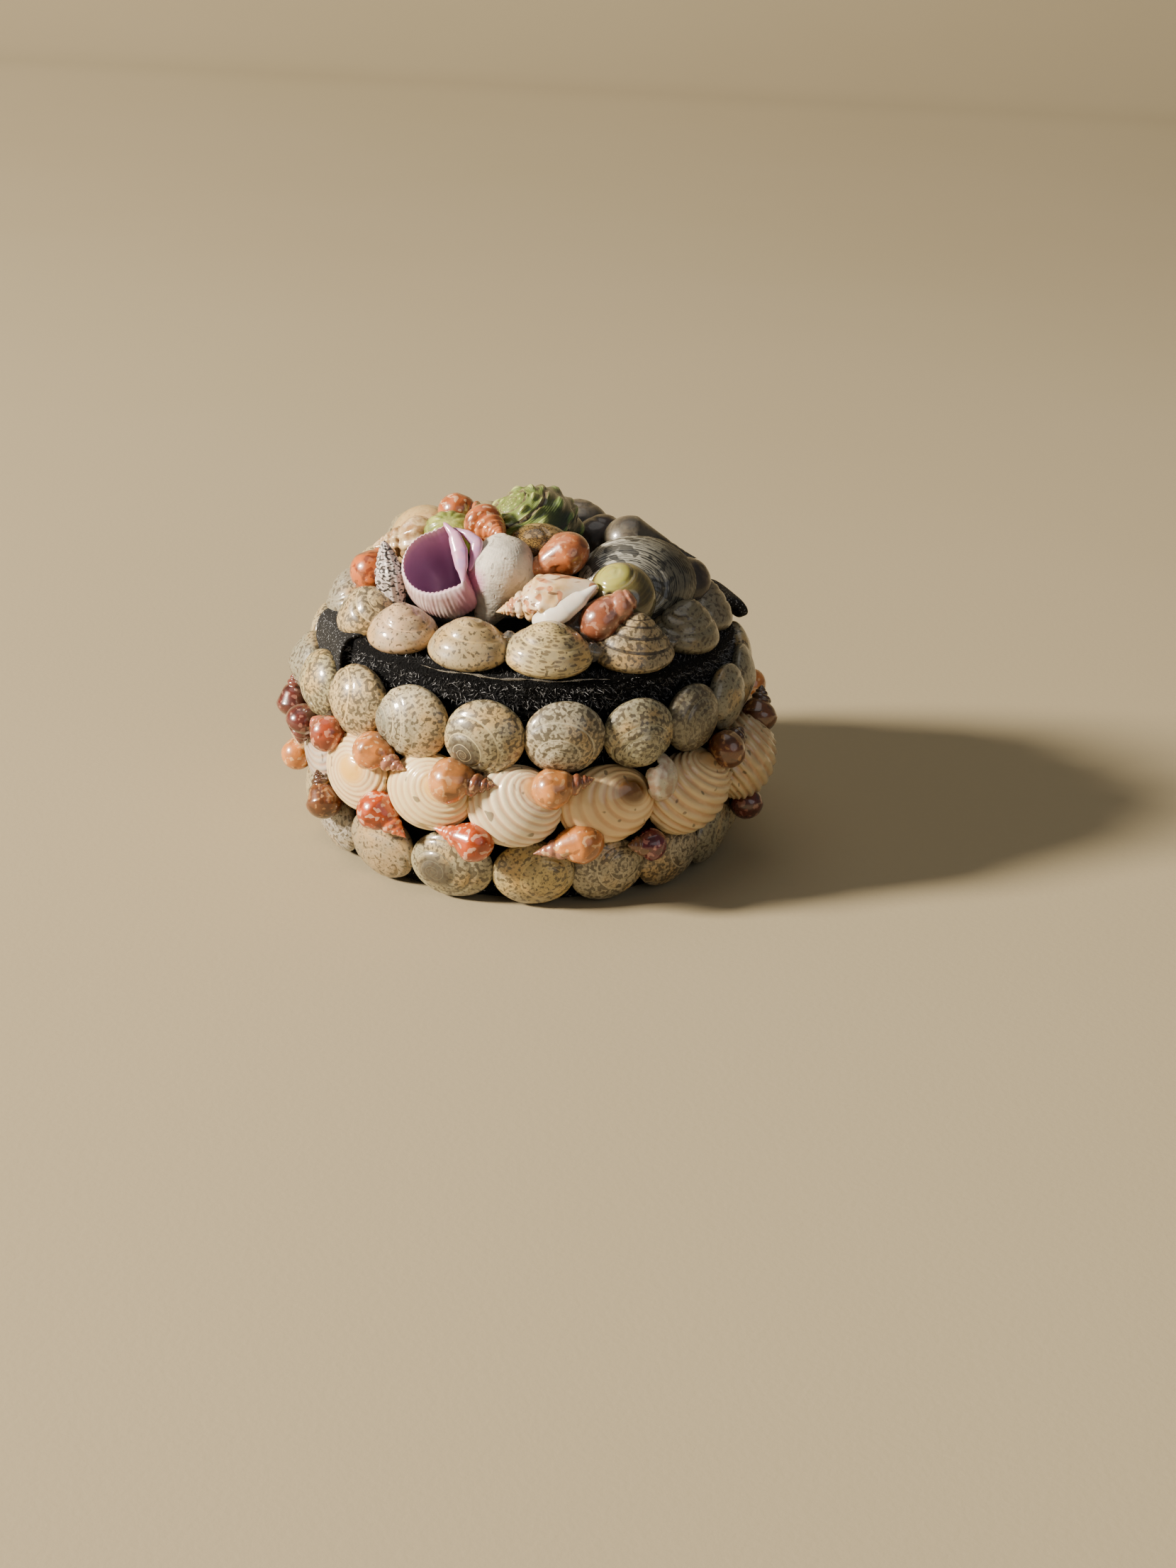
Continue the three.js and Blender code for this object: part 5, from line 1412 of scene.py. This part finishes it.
# ---- Shells on the far side of the heap ----
# Seven plain button shells finish the heap where it is not seen, in two groups.
# [middle, axis, size]
back_left = [
    ([-22.5, 20.5, 48.6], [-0.55, 0.5, 0.68], (12, 11.4, 9)),
    ([-13.6, 24.2, 49], [-0.3, 0.66, 0.68], (12, 11.4, 9)),
    ([-9.6, 16.8, 51.8], [-0.25, 0.3, 0.92], (12.4, 12, 9)),
    ([-3.4, 23.4, 51], [0, 0.6, 0.8], (12, 12, 10))]
back_right = [
    ([6.6, 27.6, 46.6], [0.2, 0.72, 0.66], (11.6, 11, 9)),
    ([15.6, 21.6, 47], [0.4, 0.6, 0.7], (11.6, 11.4, 9)),
    ([22.4, 14.6, 46.8], [0.65, 0.4, 0.65], (11.6, 11, 8.6))]
for name, group in (("lid_back_shells_left", back_left), ("lid_back_shells_right", back_right)):
    heap = Heap()
    for k, (middle, axis, size) in enumerate(group):
        apex = (0.3 - 0.2 * k, 0.2, 0.9)
        points, coil, faces = ball_shape(34, 50, np.array(size) * [0.98, 0.98, 1.1], apex,
                                         button_relief(0.08), 2.0)
        look = dict(PLAIN_BUTTON, tone=np.array(tint("a39672")) * (0.8 + 0.08 * k))
        heap.put(stood(points, middle, axis), faces, coil=coil, growth=2.0, **look_facts(look))
    heap.make(name + "_dressed", button_shell, "lid", [name])

# ---- Clear glue ----
# Beads of hot glue squeezed out where shells meet: clear between the rim shells, amber by the
# conch's lip.


def glue_material(name, shade):
    """Clear glue with a little colour and a slightly wavy skin."""
    look = Look(name, (0.5, 0.05), transmission_weight=0.9, ior=1.48)
    waves = look.noise(500, 3)
    look.color = look.mixed(waves, shade, "f4ead8")
    return look.done(look.eased(waves, -0.1, 3.0), waves, 0.3, 0.0004)


def glue_bead(middle, size):
    """A lumpy drop: a ball whose radius waves slowly with its two angles."""
    def lumps(p, t, place):
        return 0.12 * np.sin(3 * t + 2 * p) * np.sin(p) + 0.08 * np.sin(5 * p + 1)
    points, coil, faces = ball_shape(20, 28, size, (0, 0, 1), lumps, 2.0)
    return stood(points, middle, (0, 0, 1)), faces


clear = Heap()
for middle, size in (([-7.4, -30.2, 45.6], (3.2, 2.6, 2.2)), ([-10.4, -28.2, 46.6], (2.8, 2.2, 2.0)),
                     ([-19.5, -22.5, 46.2], (3.0, 2.4, 2.2)), ([-3.6, -29.4, 46.6], (2.4, 2.4, 1.8)),
                     ([10.6, -30.4, 44.8], (3.4, 3.0, 3.2)), ([24.0, -22.4, 44.6], (3.0, 2.4, 2.4))):
    clear.put(*glue_bead(middle, size))
TRAIL_RADIUS, TRAIL_HEIGHT = 36.7, 41.45
turns = np.radians(np.linspace(240, 292, 150))
trail = np.column_stack([TRAIL_RADIUS * np.cos(turns), TRAIL_RADIUS * np.sin(turns),
                         TRAIL_HEIGHT + 0.15 * np.sin(23 * turns)])
spread = 0.16 + 0.09 * np.sin(41 * turns) + 0.06 * np.sin(97 * turns)
clear.put(*tapered_fold(trail, spread, spread, 14))
clear.make("clear_glue", glue_material("clear_hot_glue", "e9e2d4"), "lid", ())
amber = Heap()
for middle, size in (([8.0, -24.8, 47.2], (6.4, 4.6, 4.6)), ([5.0, -26.0, 45.8], (6.0, 4.0, 3.2)),
                     ([10.0, -26.6, 46.2], (3.6, 3.2, 3.6))):
    amber.put(*glue_bead(middle, size))
amber.make("amber_glue", glue_material("amber_hot_glue", "c98f4a"), "lid", ())

# ---- Floor, light and camera ----
# A pale paper floor that rises far behind, one soft key light from the left and weak fill.
floor_mesh = bpy.data.meshes.new("floor")
sweep = [[-2.0, 0.0], [0.9, 0.0], [1.3, 0.06], [1.55, 0.3], [1.6, 1.6]]
grid = [[x, y, z] for y, z in divided(round_profile(sweep, 0.3, 12), 0.5) for x in (-2.5, 2.5)]
strips = [[2 * k, 2 * k + 1, 2 * k + 3, 2 * k + 2] for k in range(len(grid) // 2 - 1)]
floor_mesh.from_pydata(to_box(np.array(grid) * 1000).tolist(), [], strips)
floor_mesh.polygons.foreach_set("use_smooth", np.ones(len(floor_mesh.polygons), bool))
floor = bpy.data.objects.new("floor", floor_mesh)
bpy.context.scene.collection.objects.link(floor)
paper = Look("pale_paper")
grain = paper.noise(900, 4)
paper.color = paper.mixed(paper.noise(6, 2), "a69878", "aa9c7e")
floor_mesh.materials.append(paper.done(paper.eased(grain, -3.0, 1.2), grain, 0.12, 0.0003))
AIM_HEIGHT = 30


def lamp(name, place, size, power, color):
    """An area light at a place in the shown side's frame, aimed at the box."""
    data = bpy.data.lights.new(name, "AREA")
    data.shape, data.size, data.energy, data.color = "DISK", size, power, color
    light = bpy.data.objects.new(name, data)
    light.location = to_box([np.array(place) * 1000])[0]
    way = light.location.copy()
    way.xyz = to_box([[0, 0, AIM_HEIGHT]])[0] - np.array(light.location)
    light.rotation_mode = "QUATERNION"
    light.rotation_quaternion = way.to_track_quat("-Z", "Y")
    bpy.context.scene.collection.objects.link(light)


lamp("key_left", (-1.65, -0.5, 0.86), 0.34, 135, (1.0, 0.9, 0.76))
lamp("fill_right", (1.1, -1.5, 0.9), 1.6, 5, (0.95, 0.97, 1.0))
lamp("top_soft", (-0.3, 0.2, 1.8), 1.6, 5, (1.0, 0.97, 0.92))
world = bpy.data.worlds.new("room")
world.use_nodes = True
world.node_tree.nodes["Background"].inputs[0].default_value = (0.92, 0.9, 0.86, 1)
world.node_tree.nodes["Background"].inputs[1].default_value = 0.12
bpy.context.scene.world = world

# The camera looks down at the box from its shown side, rolled a little.
CAMERA_PLACE = (0.7, -396.15, 171.35)
CAMERA_HEADING = 88.36
CAMERA_DIP = 22.41
CAMERA_ROLL = 3.18
camera_data = bpy.data.cameras.new("camera")
camera_data.lens, camera_data.sensor_width, camera_data.sensor_fit = 52.08, 36, "AUTO"
camera_data.clip_start, camera_data.clip_end = 0.01, 20
camera = bpy.data.objects.new("camera", camera_data)


def turned_from(first, second, angle):
    """The matrix that turns the first axis towards the second by an angle."""
    turn = np.eye(4)
    turn[first, first] = turn[second, second] = math.cos(angle)
    turn[second, first] = math.sin(angle)
    turn[first, second] = -math.sin(angle)
    return turn


heading = math.radians(CAMERA_HEADING - 90) + SHOWN_SIDE_TURN
stance = turned_from(0, 1, heading) @ turned_from(1, 2, math.radians(90 - CAMERA_DIP))
stance = stance @ turned_from(0, 1, math.radians(CAMERA_ROLL))
stance[:3, 3] = to_box([CAMERA_PLACE])[0]
camera.matrix_world = stance.T.tolist()
bpy.context.scene.collection.objects.link(camera)
bpy.context.scene.camera = camera
